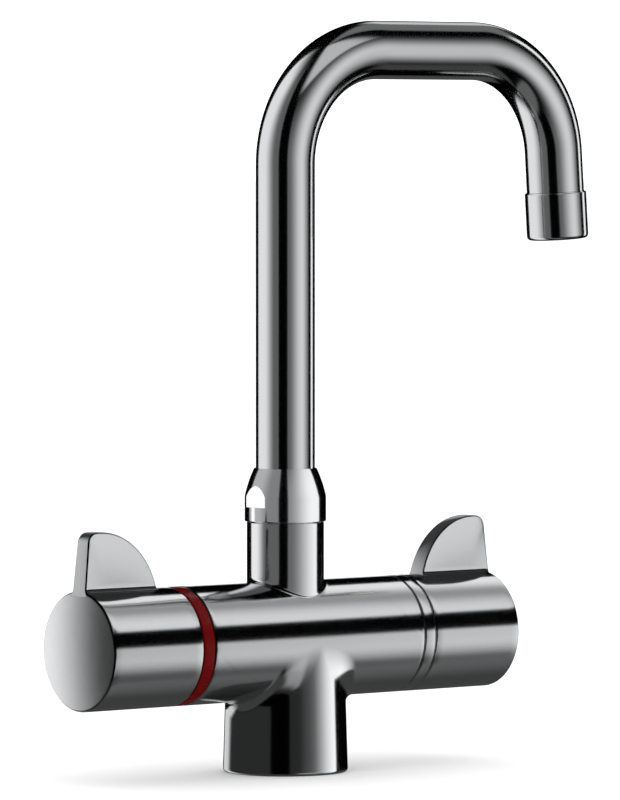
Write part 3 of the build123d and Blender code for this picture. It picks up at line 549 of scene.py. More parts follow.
def casting_patches(sizes):
    """The casting as two lists: barrel with column and foot, and socket."""
    line = band_edge(sizes)
    band = atan2(line, sqrt(sizes.seal_inner**2 - line**2))
    flat_length = sizes.body_half_length - sizes.end_rounding
    angles = quarter_angles(flat_length, sizes.barrel_radius * pi / 2, band)
    spin = joined(np.cos(angles), np.sin(angles), 0)
    barrel, socket, upper_ends = upper_patches(angles, spin, sizes)
    lower, lower_ends = lower_patches(angles, spin, sizes)
    barrel += lower
    chambers = ((TEMPERATURE_SIDE, sizes.cartridge_bore, sizes.cartridge_floor),
                (FLOW_SIDE, sizes.headwork_bore, sizes.headwork_floor))
    for (side, bore, floor), low, high in zip(chambers, lower_ends, upper_ends):
        barrel.append(barrel_end(side, np.concatenate([low, high[1:-1]]), bore, floor, sizes))
    return barrel, socket


# Rings, nut, handles and spout


def ring_patches(side, sizes):
    """Lathe ring with four rounded edges."""
    e, low, high = sizes.ring_rounding, sizes.ring_start, sizes.ring_end
    r, bore = sizes.barrel_radius, sizes.ring_bore
    outline = profile([(bore, low)], arc((r - e, low + e), e, -90, 0, 9),
                      arc((r - e, high - e), e, 0, 90, 9), [(bore, high), (bore, low)])
    return [along_barrel(turn_profile(outline, full_turn(256)), side, sizes.barrel_height)]


def nut_outline(sizes):
    """The nut's section: skirt, swollen taper, top lip, bore, shoulder and thread."""
    e, r, bottom = sizes.nut_rounding, sizes.nut_radius, sizes.nut_bottom
    taper_low = np.array([r, sizes.nut_taper_start])
    taper_high = np.array([sizes.nut_top_radius, sizes.nut_top])
    chord = taper_high - taper_low
    outward = unit(np.array([chord[1], -chord[0]]))
    t = even_steps(60)[:, None]
    taper = taper_low + chord * t + outward * sizes.nut_bulge * 4 * t * (1 - t)
    ledge = sizes.nut_flat_bottom
    beside = 2e-5    # the rows just under and over the flats' ledge lie this far from it
    skirt = joined(r, np.concatenate([np.linspace(bottom + e, ledge - beside, 12),
                                      np.linspace(ledge + beside, sizes.nut_taper_start, 12)]))
    return profile([(sizes.nut_thread, bottom)], arc((r - e, bottom + e), e, -90, 0, 7), skirt, taper,
                   [(sizes.nut_bore, sizes.nut_top), (sizes.nut_bore, sizes.nut_shoulder),
                    (sizes.nut_thread, sizes.nut_shoulder), (sizes.nut_thread, bottom)])


def nut_patches(sizes):
    """Lathe surface whose outside is cut back to two flats: radius = least of section and flat / |cos a|."""
    outline = nut_outline(sizes)
    r, h = outline[:, 0], outline[:, 1]
    hair = 1e-6    # slack on the nut's top radius, and the least radius to divide by
    least_edge = radians(1.5)    # columns never come closer than this to the middle of a flat
    outside = (h > sizes.nut_flat_bottom) & (r > sizes.nut_top_radius - hair)
    edge = np.arccos(np.clip(sizes.nut_flat / np.maximum(r, hair), -1, 1))
    edge = np.where(outside, np.maximum(edge, least_edge), np.arccos(sizes.nut_flat / sizes.nut_radius))
    quarter = np.concatenate([even_steps(14)[:-1][None, :] * edge[:, None],
                              edge[:, None] + (pi / 2 - edge[:, None]) * even_steps(40)[None, :-1]], axis=1)
    mirrored = pi - quarter[:, :0:-1]
    half = np.concatenate([quarter, np.full((len(r), 1), pi / 2), mirrored], axis=1)
    angles = np.concatenate([half, half + pi], axis=1)
    radius = np.broadcast_to(r[:, None], angles.shape)
    cut = sizes.nut_flat / np.maximum(np.abs(np.cos(angles)), TINY)
    radius = np.where(outside[:, None], np.minimum(radius, cut), radius)
    return [joined(radius * np.cos(angles), radius * np.sin(angles), h[:, None])]


def shell_outline(handle, barrel_radius):
    """A handle's section from the middle of its domed face round to the hub's bore."""
    r, e, m = barrel_radius, handle.rim_rounding, handle.mouth_rounding
    crown = handle.end + handle.dome
    dome_radius = (r**2 + handle.dome**2) / (2 * handle.dome)
    face_r = np.linspace(0, r - e, 40)
    face = joined(face_r, crown - dome_radius + np.sqrt(dome_radius**2 - face_r**2))
    rim_high = face[-1, 1]
    rim = arc((r - e, rim_high - e), e, 90, 0, 9)
    mouth = arc((r - m, handle.start + m), m, 0, -90, 7)
    inside, floor = r - handle.wall, handle.end - handle.face
    return profile(face, rim, spread(rim[-1], mouth[0], 0.003), mouth,
                   spread((inside, handle.start), (inside, floor), 0.006), [(handle.hub_radius, floor)],
                   [(handle.hub_radius, handle.hub_start), (handle.hub_bore, handle.hub_start),
                    (handle.hub_bore, handle.hub_bore_end), (0, handle.hub_bore_end)])


def face_place(radius, handle, barrel_radius):
    """How far out a handle's domed face lies at a distance from its middle."""
    return handle.end + handle.dome * (1 - (radius / barrel_radius)**2)


def fin_outline(handle, barrel_radius, barrel_height):
    """The fin's edge as x, z and inward normal: part of an ellipse, a round corner, and a leaning line that
    ends flush with the handle's face."""
    peak_x, base = handle.end - handle.fin_peak_inset, handle.fin_curve_base
    wide, tall = handle.fin_reach, handle.fin_top - base
    shoulder = barrel_height + barrel_radius
    full_lean = handle.fin_lean * (handle.fin_top - handle.fin_root) / (handle.fin_top - shoulder)
    knee_radius, low_radius = barrel_radius - handle.rim_rounding, handle.fin_root - barrel_height
    knee, low = (np.array([face_place(r, handle, barrel_radius) + FACE_PROUD, barrel_height + r])
                 for r in (knee_radius, low_radius))
    high = np.array([handle.end - full_lean, handle.fin_top])
    line_dir = unit(knee - high)
    line_in = np.array([line_dir[1], -line_dir[0]])

    def ellipse(a):
        point = joined(peak_x - wide * np.cos(a), base + tall * np.sin(a))
        return point, unit(joined(np.cos(a) / wide, -np.sin(a) / tall))

    # The round corner starts where a circle inside the ellipse also touches the leaning line.
    a = np.linspace(radians(60), radians(120), 4001)
    point, normal = ellipse(a)
    gap = np.sum((point + handle.fin_corner * normal - high) * line_in, axis=-1) - handle.fin_corner
    stop = a[np.argmin(np.abs(gap))]
    start = np.arcsin((handle.fin_root - base) / tall)
    a = np.linspace(start, stop, 110)
    curve, curve_in = ellipse(a)
    centre = curve[-1] + handle.fin_corner * curve_in[-1]
    from_angle = atan2(-curve_in[-1][1], -curve_in[-1][0])
    to_angle = atan2(-line_in[1], -line_in[0])
    turn = np.linspace(from_angle, to_angle, 26)[1:]
    corner_in = -joined(np.cos(turn), np.sin(turn))
    corner = centre - handle.fin_corner * corner_in
    straight = np.concatenate([np.linspace(corner[-1], knee, 60)[1:], np.linspace(knee, low, 9)[1:]])
    points = np.concatenate([curve, corner, straight])
    inward = np.concatenate([curve_in, corner_in, np.broadcast_to(line_in, straight.shape)])
    return points, inward


def fin_fall(handle):
    """How much of its half thickness the fin loses for each metre of height."""
    return (handle.fin_base - handle.fin_tip) / 2 / (handle.fin_top - handle.fin_root)


def fin_draft(z, handle):
    """Half thickness of the fin without its flare."""
    return handle.fin_base / 2 - fin_fall(handle) * (z - handle.fin_root)


def fin_foot(handle, barrel_radius, barrel_height):
    """Centre (y, z) of the ball that rolls between fin and shell, and the point (y, z) where it meets the
    shell."""
    b = handle.fin_blend
    centre_z = barrel_height + barrel_radius
    for _ in range(20):
        centre_y = fin_draft(centre_z, handle) + b * sqrt(1 + fin_fall(handle)**2)
        centre_z = barrel_height + sqrt((barrel_radius + b)**2 - centre_y**2)
    scale = barrel_radius / (barrel_radius + b)
    return centre_y, centre_z, centre_y * scale, barrel_height + (centre_z - barrel_height) * scale


def fin_half_thickness(x, z, handle, foot):
    """Half thickness at a place: a straight draft that flares into the shell through a ball's arc; the flare
    shrinks towards the handle's face."""
    centre_y, centre_z, low_y, low_z = foot
    b = handle.fin_blend
    within = np.clip(centre_z - z, 0, centre_z - low_z)
    flare = centre_y - np.sqrt(np.maximum(b**2 - within**2, 0))
    share = FACE_FLARE + (1 - FACE_FLARE) * np.clip((handle.end - x) / b, 0, 1)
    straight = fin_draft(z, handle)
    return np.where(z >= centre_z, straight, straight + (np.minimum(flare, low_y) - straight) * share)


def fin_patch(handle, side, barrel_radius, barrel_height):
    """A closed grid: rows follow the fin's edge, columns go up one face, over the edge and down again."""
    points, inward = fin_outline(handle, barrel_radius, barrel_height)
    foot = fin_foot(handle, barrel_radius, barrel_height)
    _, centre_z, _, low_z = foot
    levels = [handle.fin_root, *np.linspace(low_z, centre_z, 9)]
    count, root = len(points), handle.fin_root
    inset = np.minimum(handle.fin_rounding, np.maximum(points[:, 1] - root, 0) / 3)
    inner = points + inset[:, None] * inward
    inner[:, 1] = np.maximum(inner[:, 1], root)
    root_x = np.linspace(points[0, 0], points[-1, 0], count)

    def toward_edge(z):
        height = inner[:, 1] - root
        t = np.divide(z - root, height, out=np.zeros(count), where=inner[:, 1] > root + NEARLY)
        return root_x + (inner[:, 0] - root_x) * t

    columns = []
    for level in levels:
        z = np.minimum(level, inner[:, 1])
        columns.append((toward_edge(z), z, 0.0))
    rise_above = np.maximum(inner[:, 1] - centre_z, 0)
    crown = 4 * handle.fin_crown * (rise_above / rise_above.max())**2
    for share in even_steps(13)[1:-1]:
        z = inner[:, 1] - rise_above * (1 - share)
        columns.append((toward_edge(z), z, -crown * share * (1 - share)))
    for angle in np.radians(np.linspace(0, 90, 7)):
        place = points + (inset * (1 - sin(angle)))[:, None] * inward
        columns.append((place[:, 0], np.maximum(place[:, 1], root), inset * (1 - cos(angle))))
    x, z, drop = (np.stack([c[i] + np.zeros(count) for c in columns], axis=1) for i in range(3))
    face = joined(x, fin_half_thickness(x, z, handle, foot) - drop, z)
    grid = np.concatenate([face, face[:, ::-1] * np.array([1, -1, 1])], axis=1)
    return grid * np.array([side, side, 1])


def handle_patches(side, handle, body):
    """A handle as two lists: its shell and its fin."""
    outline = shell_outline(handle, body.barrel_radius)
    shell = along_barrel(turn_profile(outline, full_turn(BARREL_COLUMNS)), side, body.barrel_height)
    return [shell], [fin_patch(handle, side, body.barrel_radius, body.barrel_height)]


def spout_line(spout):
    """Points and directions of the spout's centreline: up, over, along and down."""
    rise, fall, turn = spout.rise_bend, spout.fall_bend, spout.fall_turn
    up = np.linspace(spout.tube_start, spout.height - rise, 40)
    a = np.linspace(0, pi / 2, BEND_ROWS)[1:]
    level = np.linspace(rise, spout.fall_start, 24)[1:]
    b = np.linspace(0, turn, BEND_ROWS)[1:]
    places = [joined(0, up),
              joined(rise * (1 - np.cos(a)), spout.height - rise + rise * np.sin(a)),
              joined(level, spout.height),
              joined(spout.fall_start + fall * np.sin(b), spout.height - fall * (1 - np.cos(b)))]
    headings = [np.full(len(up), pi / 2), pi / 2 - a, np.zeros(len(level)), -b]
    leg = np.linspace(0, spout.leg - spout.seam, 10)[1:, None]
    places.append(places[-1][-1] + leg * np.array([cos(turn), -sin(turn)]))
    headings.append(np.full(len(leg), -turn))
    return np.concatenate(places), np.concatenate(headings)


def tube_patches(spout):
    """Circle carried along the spout's line, outside and inside, with a small chamfer at both ends."""
    places, headings = spout_line(spout)
    r, bore, edge = spout.tube_radius, spout.tube_radius - spout.tube_wall, TUBE_EDGE
    angles = full_turn(192)
    ahead = joined(np.cos(headings), np.sin(headings))
    side = joined(-ahead[:, 1], ahead[:, 0])
    trimmed = places.copy()
    trimmed[0] += edge * ahead[0]
    trimmed[-1] -= edge * ahead[-1]
    rows = [(places[0], side[0], r - edge)] + [(p, s, r) for p, s in zip(trimmed, side)]
    rows += [(places[-1], side[-1], r - edge), (places[-1], side[-1], bore)]
    rows += [(p, s, bore) for p, s in zip(places[-2::-1], side[-2::-1])] + [rows[0]]
    centre, across, radius = (np.array([row[i] for row in rows])[:, None] for i in range(3))
    flat = centre + across * (radius * np.cos(angles))[..., None]
    return [joined(flat[..., 0], radius * np.sin(angles), flat[..., 1])]


def housing_patches(spout):
    """Lathe ring of the outlet housing, set on the tube's end along the outflow."""
    r, e, end = spout.housing_radius, spout.housing_rounding, spout.housing_length
    edge, lip = TUBE_EDGE, spout.housing_spigot
    outline = profile([(spout.housing_bore, -spout.seam), (lip, -spout.seam), (lip, spout.seam)],
                      [(r - edge, spout.seam)], spread((r, spout.seam + edge), (r, end - e), 0.002),
                      arc((r - e, end - e), e, 0, 90, 16),
                      [(spout.housing_lip, end), (spout.housing_lip, spout.housing_lip_start),
                       (spout.housing_seat, spout.housing_lip_start),
                       (spout.housing_seat, spout.housing_seat_start),
                       (spout.housing_bore, spout.housing_seat_start), (spout.housing_bore, -spout.seam)])
    turn = spout.fall_turn
    places, _ = spout_line(spout)
    direction = np.array([cos(turn), 0.0, -sin(turn)])
    joint = np.array([places[-1][0], 0.0, places[-1][1]]) + spout.seam * direction
    return [placed(turn_profile(outline, full_turn(224)), joint, direction)]


def spring_patches(spring, barrel_height):
    """Round wire along a screw line: (R cos t, R sin t, start + pitch t / turn), with flat ends."""
    coils = (spring.end - spring.start - 2 * spring.wire_radius) / spring.pitch
    turn = np.linspace(0, 2 * pi * coils, int(72 * coils))[:, None]
    climb = spring.pitch / (2 * pi)
    tilt = np.hypot(spring.coil_radius, climb)
    outward = joined(np.cos(turn), np.sin(turn), 0)
    upward = joined(climb * np.sin(turn), -climb * np.cos(turn), spring.coil_radius)
    middle = spring.coil_radius * outward
    middle = middle + joined(0, 0, spring.start + spring.wire_radius + climb * turn)
    around = full_turn(20)[None, :, None]
    wire = middle + spring.wire_radius * (np.cos(around) * outward + np.sin(around) * upward / tilt)
    first, last = (np.broadcast_to(middle[i], wire[i].shape) for i in (0, -1))
    points = np.concatenate([first[None], wire, last[None]])
    return [along_barrel(points, TEMPERATURE_SIDE, barrel_height)]


# Finishes


def add_node(tree, kind, inputs=None, **settings):
    """Adds a node, sets its own settings, and fills its inputs with values or with other nodes' outputs."""
    node = tree.nodes.new(kind)
    for name, value in settings.items():
        setattr(node, name, value)
    for name, value in (inputs or {}).items():
        socket = node.inputs[name]
        if isinstance(value, bpy.types.NodeSocket):
            tree.links.new(value, socket)
        else:
            socket.default_value = value
    return node


Finish = namedtuple("Finish", "material tree surface place")


def empty_tree(owner):
    """The node tree of a material or world, without the nodes it starts with."""
    owner.use_nodes = True
    owner.node_tree.nodes.clear()
    return owner.node_tree


def new_finish(name, colour_value, metallic, roughness, **shader):
    """A material with its node tree, its shader, and the object's own coordinates for its patterns."""
    material = bpy.data.materials.new(name)
    tree = empty_tree(material)
    surface = add_node(tree, "ShaderNodeBsdfPrincipled",
                       {"Base Color": (*colour_value, 1), "Metallic": metallic, "Roughness": roughness})
    for key, value in shader.items():
        surface.inputs[key.replace("_", " ")].default_value = value
    add_node(tree, "ShaderNodeOutputMaterial", {"Surface": surface.outputs["BSDF"]})
    place = add_node(tree, "ShaderNodeTexCoord").outputs["Object"]
    return Finish(material, tree, surface, place)


def soft_noise(made, per_metre, detail):
    return add_node(made.tree, "ShaderNodeTexNoise",
                    {"Vector": made.place, "Scale": per_metre, "Detail": detail}).outputs["Fac"]


def vary(made, per_metre, low, high):
    """Drives a finish's roughness with soft noise between two values; gives the noise back."""
    noise = soft_noise(made, per_metre, 2.0)
    limits = {"From Min": NOISE_RANGE[0], "From Max": NOISE_RANGE[1], "To Min": low, "To Max": high}
    spread_out = add_node(made.tree, "ShaderNodeMapRange", {"Value": noise, **limits})
    made.tree.links.new(spread_out.outputs["Result"], made.surface.inputs["Roughness"])
    return noise


def tint(made, per_metre, first, factor):
    """Mixes a colour with a shade of itself by soft noise."""
    second = tuple(min(1.0, c * factor) for c in first)
    mixed = add_node(made.tree, "ShaderNodeMix", {"Factor": soft_noise(made, per_metre, 3.0),
                                                  "A": (*first, 1), "B": (*second, 1)}, data_type="RGBA")
    made.tree.links.new(mixed.outputs["Result"], made.surface.inputs["Base Color"])


def relief(made, height, depth):
    """Bump from a height pattern, its depth in metres."""
    bump = add_node(made.tree, "ShaderNodeBump", {"Height": height, "Distance": depth, "Strength": 1.0})
    made.tree.links.new(bump.outputs["Normal"], made.surface.inputs["Normal"])


def polished_chrome(colours):
    # Bright chrome plate on buffed brass: a mirror with a cool tint, a little less sharp in patches about
    # 12 mm across where it was buffed.
    made = new_finish("polished_chrome", colours.chrome, 1.0, 0.014)
    vary(made, 80.0, 0.008, 0.02)
    tint(made, 40.0, colours.chrome, 0.96)
    return made.material


def red_gloss_plastic(colours):
    # Moulded ABS in deep red with a glossy skin; the mould's faint flow shows as patches about 4 mm across.
    made = new_finish("red_gloss_plastic", colours.red, 0.0, 0.25, IOR=1.5, Specular_IOR_Level=0.08)
    vary(made, 250.0, 0.2, 0.3)
    tint(made, 250.0, colours.red, 0.8)
    return made.material


def turned_brass(colours):
    # Machined CW617 brass: warm metal with fine lathe marks, drawn 0.8 mm apart so that they show.
    made = new_finish("turned_brass", colours.brass, 1.0, 0.28)
    tint(made, 120.0, colours.brass, 0.86)
    marks = add_node(made.tree, "ShaderNodeTexWave", {"Vector": made.place, "Scale": 400.0,
                                                      "Distortion": 1.5}, wave_type="BANDS",
                     bands_direction="X")
    relief(made, marks.outputs["Fac"], 0.00002)
    return made.material


def nitrile_rubber(colours):
    # Black nitrile rubber, moulded and slightly dusty: dull, with a fine grain about 0.5 mm across.
    made = new_finish("nitrile_rubber", colours.rubber, 0.0, 0.7, IOR=1.52)
    grain = vary(made, 2000.0, 0.62, 0.8)
    relief(made, grain, 0.00002)
    return made.material


def acetal_plastic(colours):
    # Natural acetal, moulded: off-white and waxy, a little translucent at thin edges.
    made = new_finish("acetal_plastic", colours.plastic, 0.0, 0.4, IOR=1.48, Subsurface_Weight=0.1,
                      Subsurface_Scale=0.001)
    vary(made, 300.0, 0.34, 0.46)
    tint(made, 150.0, colours.plastic, 0.94)
    return made.material


def drawn_stainless_steel(colours):
    # Drawn stainless wire and strip: grey metal with a fine uneven grain about 0.3 mm across.
    made = new_finish("drawn_stainless_steel", colours.steel, 1.0, 0.3)
    marks = vary(made, 3000.0, 0.24, 0.4)
    tint(made, 600.0, colours.steel, 0.85)
    relief(made, marks, 0.00001)
    return made.material


def drawn_copper_alloy(colours):
    # Deep-drawn copper alloy capsule: warm satin metal, a little uneven in colour where it was annealed.
    made = new_finish("drawn_copper_alloy", colours.copper, 1.0, 0.32)
    vary(made, 400.0, 0.26, 0.4)
    tint(made, 200.0, colours.copper, 0.8)
    return made.material


def lapped_alumina(colours):
    # Lapped alumina: ivory ceramic, ground flat, with a faint speckle 0.6 mm across.
    made = new_finish("lapped_alumina", colours.ceramic, 0.0, 0.18, IOR=1.76)
    vary(made, 1600.0, 0.12, 0.26)
    tint(made, 1600.0, colours.ceramic, 0.93)
    return made.material


FINISH_OF_SLOT = {
    "polished_chrome": polished_chrome,
    "red_plastic": red_gloss_plastic,
    "bare_brass": turned_brass,
    "black_rubber": nitrile_rubber,
    "white_plastic": acetal_plastic,
    "stainless_steel": drawn_stainless_steel,
    "copper_capsule": drawn_copper_alloy,
    "alumina_ceramic": lapped_alumina,
}


def finish(slot):
    """The finish of a material slot, made once."""
    maker = FINISH_OF_SLOT[slot]
    made = bpy.data.materials.get(maker.__name__)
    return made if made else maker(bpy.context.scene.tap_colours)


# Operators


class TAP_OT_finish_inner_pieces(bpy.types.Operator):
    """Gives every CAD node the finish of its material slot"""
    bl_idname = "tap.finish_inner_pieces"
    bl_label = "Finish inner pieces"

    def execute(self, context):
        for subpart in frame["record"]["subparts"]:
            node = frame["nodes"][subpart["node"]]
            node.data.materials.clear()
            node.data.materials.append(finish(subpart["material_slot"]))
        return {"FINISHED"}


class TAP_OT_body_casting(bpy.types.Operator):
    """Makes the casting: barrel, column and socket blended into each other"""
    bl_idname = "tap.body_casting"
    bl_label = "Body casting"

    def execute(self, context):
        barrel, socket = casting_patches(context.scene.tap_body)
        for name, grids in (("barrel", barrel), ("socket", socket)):
            make_piece(name, grids, "polished_chrome", "root", "body_casting")
        return {"FINISHED"}


class TAP_OT_side_rings(bpy.types.Operator):
    """Makes the red ring and the chrome ring beside the casting"""
    bl_idname = "tap.side_rings"
    bl_label = "Side rings"

    def execute(self, context):
        sizes = context.scene.tap_body
        for name, side, slot, node in (
                ("red_ring", TEMPERATURE_SIDE, "red_plastic", "red_stop_ring"),
                ("chrome_ring", FLOW_SIDE, "polished_chrome", "chrome_cover_ring")):
            make_piece(name, ring_patches(side, sizes), slot, "root", node)
        return {"FINISHED"}


class TAP_OT_collar_nut(bpy.types.Operator):
    """Makes the nut with its two spanner flats"""
    bl_idname = "tap.collar_nut"
    bl_label = "Collar nut"

    def execute(self, context):
        grids = nut_patches(context.scene.tap_body)
        make_piece("nut", grids, "polished_chrome", "root", "collar_nut", sharp=18)
        return {"FINISHED"}


class TAP_OT_return_spring(bpy.types.Operator):
    """Makes the return spring"""
    bl_idname = "tap.return_spring"
    bl_label = "Return spring"

    def execute(self, context):
        spring, height = context.scene.tap_spring, context.scene.tap_body.barrel_height
        piece = make_piece("coil", spring_patches(spring, height), "stainless_steel", None, "return_spring")
        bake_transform(piece)
        return {"FINISHED"}


class TAP_OT_handles(bpy.types.Operator):
    """Makes the two handles with their fins"""
    bl_idname = "tap.handles"
    bl_label = "Handles"

    def execute(self, context):
        body, handle = context.scene.tap_body, context.scene.tap_handle
        for name, side in (("temperature", TEMPERATURE_SIDE), ("flow", FLOW_SIDE)):
            shell, fin = handle_patches(side, handle, body)
            for part, grids in (("shell", shell), ("fin", fin)):
                make_piece(f"{name}_{part}", grids, "polished_chrome", name, f"{name}_handle")
        return {"FINISHED"}


class TAP_OT_spout(bpy.types.Operator):
    """Makes the bent spout tube and the housing at its outlet"""
    bl_idname = "tap.spout"
    bl_label = "Spout"

    def execute(self, context):
        spout = context.scene.tap_spout
        for name, grids, node in (("tube", tube_patches(spout), "spout_tube"),
                                  ("outlet", housing_patches(spout), "outlet_housing")):
            make_piece(name, grids, "polished_chrome", "spout", node)
        return {"FINISHED"}


# Stage

WHITE = (1, 1, 1, 1)
ROOM_LIGHT = 1.42                # the even white light on floor and background
ROOM_REFLECTED = 0.0005          # what reflections show of it
FLOOR_REACH = 30.0               # metres from the middle to the floor's edge
DOME_REACH = 30.0                # radius of the smallest light dome; each next radius is a metre more
VIEW_AZIMUTH = radians(38.636)   # the camera stands this far round from the front, towards -X
VIEW_ELEVATION = radians(2.233)
VIEW_DISTANCE = 2.43866
VIEW_TARGET = Vector((0.011737, 0.0, 0.13803))
VIEW_LENS = 294.2                # focal length in millimetres
VIEW_SENSOR = 36.0               # width in millimetres
VIEW_FAR = 200.0                 # metres, beyond the light domes
CAMERA_BACK = Vector((-sin(VIEW_AZIMUTH), -cos(VIEW_AZIMUTH), 0.0))
CAMERA_RIGHT = Vector((cos(VIEW_AZIMUTH), -sin(VIEW_AZIMUTH), 0.0))
# Soft panels of light as (from, to, lowest, highest, softness of those four edges, brightness), in degrees
# round from the camera towards its right, and in degrees up.
SPOUT_PANELS = [
    (-132, -42, -80, 80, (5, 48, 30, 30), 0.98),  # left softbox, falling off towards the camera
    (-132, -26, -80, 80, (5, 1, 30, 30), 0.16),
    (6, 104, -46, 46, (6, 4, 36, 40), 0.17),  # right softbox
    (14, 104, -46, 46, (52, 36, 36, 40), 0.78),
    (118, 135, -20, 40, (2, 3, 8, 8), 1.3),  # strip at the right, behind
    (0, 90, 38, 90, (20, 20, 6, 1), 0.7),  # overhead panel
    (118, 176, 30, 90, (6, 10, 10, 1), 0.2),
    (161, 179, 18, 44, (3, 6, 8, 5), 0.7),  # bright rim along the top of the level run
    (-40, 60, -90, -46, (10, 10, 1, 8), 0.16),  # dim table
    (92, 124, -90, -30, (10, 3, 1, 14), 0.07),
    (159, 181, -60, -6, (3, 1, 10, 4), 0.08),
]
OVERHEAD_PANELS = [
    (78, 166, 28, 80, (4, 3, 4, 20), 0.42),  # overhead light along the barrel
    (78, 118, 28, 80, (4, 32, 4, 20), 0.6),
    (122, 166, 28, 80, (34, 3, 4, 20), 0.72),
    (177.6, 181, 0, 13, (1, 1, 2, 4), 1.2),  # light from behind at the silhouette
    (-181, -177.6, 0, 13, (1, 1, 2, 4), 1.2),
    (80, 150, -75, -34, (8, 56, 10, 8), 0.1),  # dim table, a little lighter towards the right
    (90, 181, -90, -6, (10, 1, 1, 6), 0.065),
    (-181, 90, -90, -40, (1, 10, 1, 12), 0.065),
]
NECK_PANELS = [
    (-124, -18, -80, 80, (3, 2, 30, 30), 0.17),  # left softbox
    (-124, -62, -80, 80, (3, 36, 30, 30), 1.1),
    (7, 110, -46, 28, (2, 3, 36, 4), 0.2),  # right softbox
    (14, 110, -46, 28, (96, 3, 36, 4), 1.18),
    *OVERHEAD_PANELS,
]
NUT_PANELS = [
    (-124, -18, -80, 80, (3, 2, 30, 30), 0.33),
    (-124, -44, -80, 80, (3, 44, 30, 30), 0.33),
    (7, 113, -80, 80, (2, 3, 30, 60), 0.37),
    (7, 113, -80, 80, (79, 3, 30, 60), 1.04),
    (-113, -97, -26, 12, (2, 2, 8, 4), 1.0),  # bright strip that the left flat shows
]
BODY_PANELS = [
    (-162, -120, -60, 60, (5, 18, 30, 30), 0.87),  # left strip, at the column's edge
    (-124, -26, -60, 60, (5, 3, 30, 30), 0.033),
    (7, 75, -46, 8, (3, 20, 14, 5), 0.03),
    (24, 60, -46, 8, (24, 12, 14, 5), 0.07),
    (44, 110, -43, 8, (66, 2, 31, 5), 1.5),  # right softbox up to the dark line
    (14, 76, -50, -8, (22, 14, 16, 6), 0.3),  # fill in front, which other views show
    (16, 76, 30, 80, (24, 14, 10, 20), 0.5),
    *OVERHEAD_PANELS,
]
DISC_PANELS = [
    (-130, -100, -18, 14, (8, 12, 6, 6), 1.38),  # softbox that the end face shows
    (-112, -84, -18, 14, (6, 10, 6, 6), 0.05),
    (-164, -134, -60, -8, (6, 4, 30, 6), 0.87),  # fill behind, which other views show
    *BODY_PANELS[2:],
]
FIN_PANELS = [
    (62, 92, -16, 14, (6, 12, 18, 6), 0.98),  # on the flat faces
    (-128, -90, -14, 44, (8, 8, 4, 36), 0.65),  # on the narrow edges
    (-180, -100, -20, 60, (6, 8, 4, 20), 0.06),
    (60, 130, 24, 80, (6, 8, 8, 8), 0.05),
    (-166, -118, -60, -8, (10, 10, 10, 6), 0.7),  # fill in front and behind, which other views show
    (14, 60, -50, -8, (12, 12, 14, 6), 0.6),
    (140, 181, -2, 30, (12, 1, 4, 10), 0.4),  # on a fin that is turned level
    (-181, -165, -2, 30, (1, 6, 4, 10), 0.4),
]
REST_PANELS = [
    (-130, -40, -60, 70, (10, 40, 30, 30), 0.9),
    (10, 110, -40, 60, (40, 20, 30, 30), 0.9),
]
# Each light dome's name, its panels and the pieces that it lights. The last one lights all the others.
LIT_GROUPS = (
    ("spout_light", SPOUT_PANELS, ("tube", "outlet")),
    ("nut_light", NUT_PANELS, ("nut",)),
    ("neck_light", NECK_PANELS, ("socket",)),
    ("body_light", BODY_PANELS, ("barrel", "red_ring", "chrome_ring", "flow_shell")),
    ("disc_light", DISC_PANELS, ("temperature_shell",)),
    ("fin_light", FIN_PANELS, ("temperature_fin", "flow_fin")),
    ("inner_light", REST_PANELS, None),
)


def maths(tree, operation, *values):
    return add_node(tree, "ShaderNodeMath", dict(enumerate(values)), operation=operation).outputs[0]


def panel_light(tree, direction, panels):
    """Brightness by direction: the sum of soft-edged rectangles laid out round the camera's view."""
    toward_camera, toward_right = (add_node(tree, "ShaderNodeVectorMath", {0: direction, 1: axis},
                                            operation="DOT_PRODUCT").outputs["Value"]
                                   for axis in (CAMERA_BACK, CAMERA_RIGHT))
    upward = add_node(tree, "ShaderNodeSeparateXYZ", {"Vector": direction}).outputs["Z"]
    azimuth = maths(tree, "DEGREES", maths(tree, "ARCTAN2", toward_right, toward_camera))
    elevation = maths(tree, "DEGREES", maths(tree, "ARCSINE", upward))
    total = 0.0
    for low, high, bottom, top, soft, strength in panels:
        glow = strength
        for value, outer, inner in ((azimuth, low, low + soft[0]), (azimuth, high, high - soft[1]),
                                    (elevation, bottom, bottom + soft[2]), (elevation, top, top - soft[3])):
            limits = {"Value": value, "From Min": outer, "From Max": inner}
            edge = add_node(tree, "ShaderNodeMapRange", limits, interpolation_type="SMOOTHSTEP")
            glow = maths(tree, "MULTIPLY", edge.outputs["Result"], glow)
        total = maths(tree, "ADD", glow, total)
    return total


def studio_world(scene):
    """Even white light for the floor and the background, of which reflections show next to nothing."""
    world = bpy.data.worlds.new("studio")
    scene.world = world
    tree = empty_tree(world)
    plain, reflected = (add_node(tree, "ShaderNodeBackground", {"Color": WHITE, "Strength": strength})
                        for strength in (ROOM_LIGHT, ROOM_REFLECTED))
    glossy = add_node(tree, "ShaderNodeLightPath").outputs["Is Glossy Ray"]
    mixed = add_node(tree, "ShaderNodeMixShader", {0: glossy, 1: plain.outputs[0], 2: reflected.outputs[0]})
    add_node(tree, "ShaderNodeOutputWorld", {"Surface": mixed.outputs[0]})


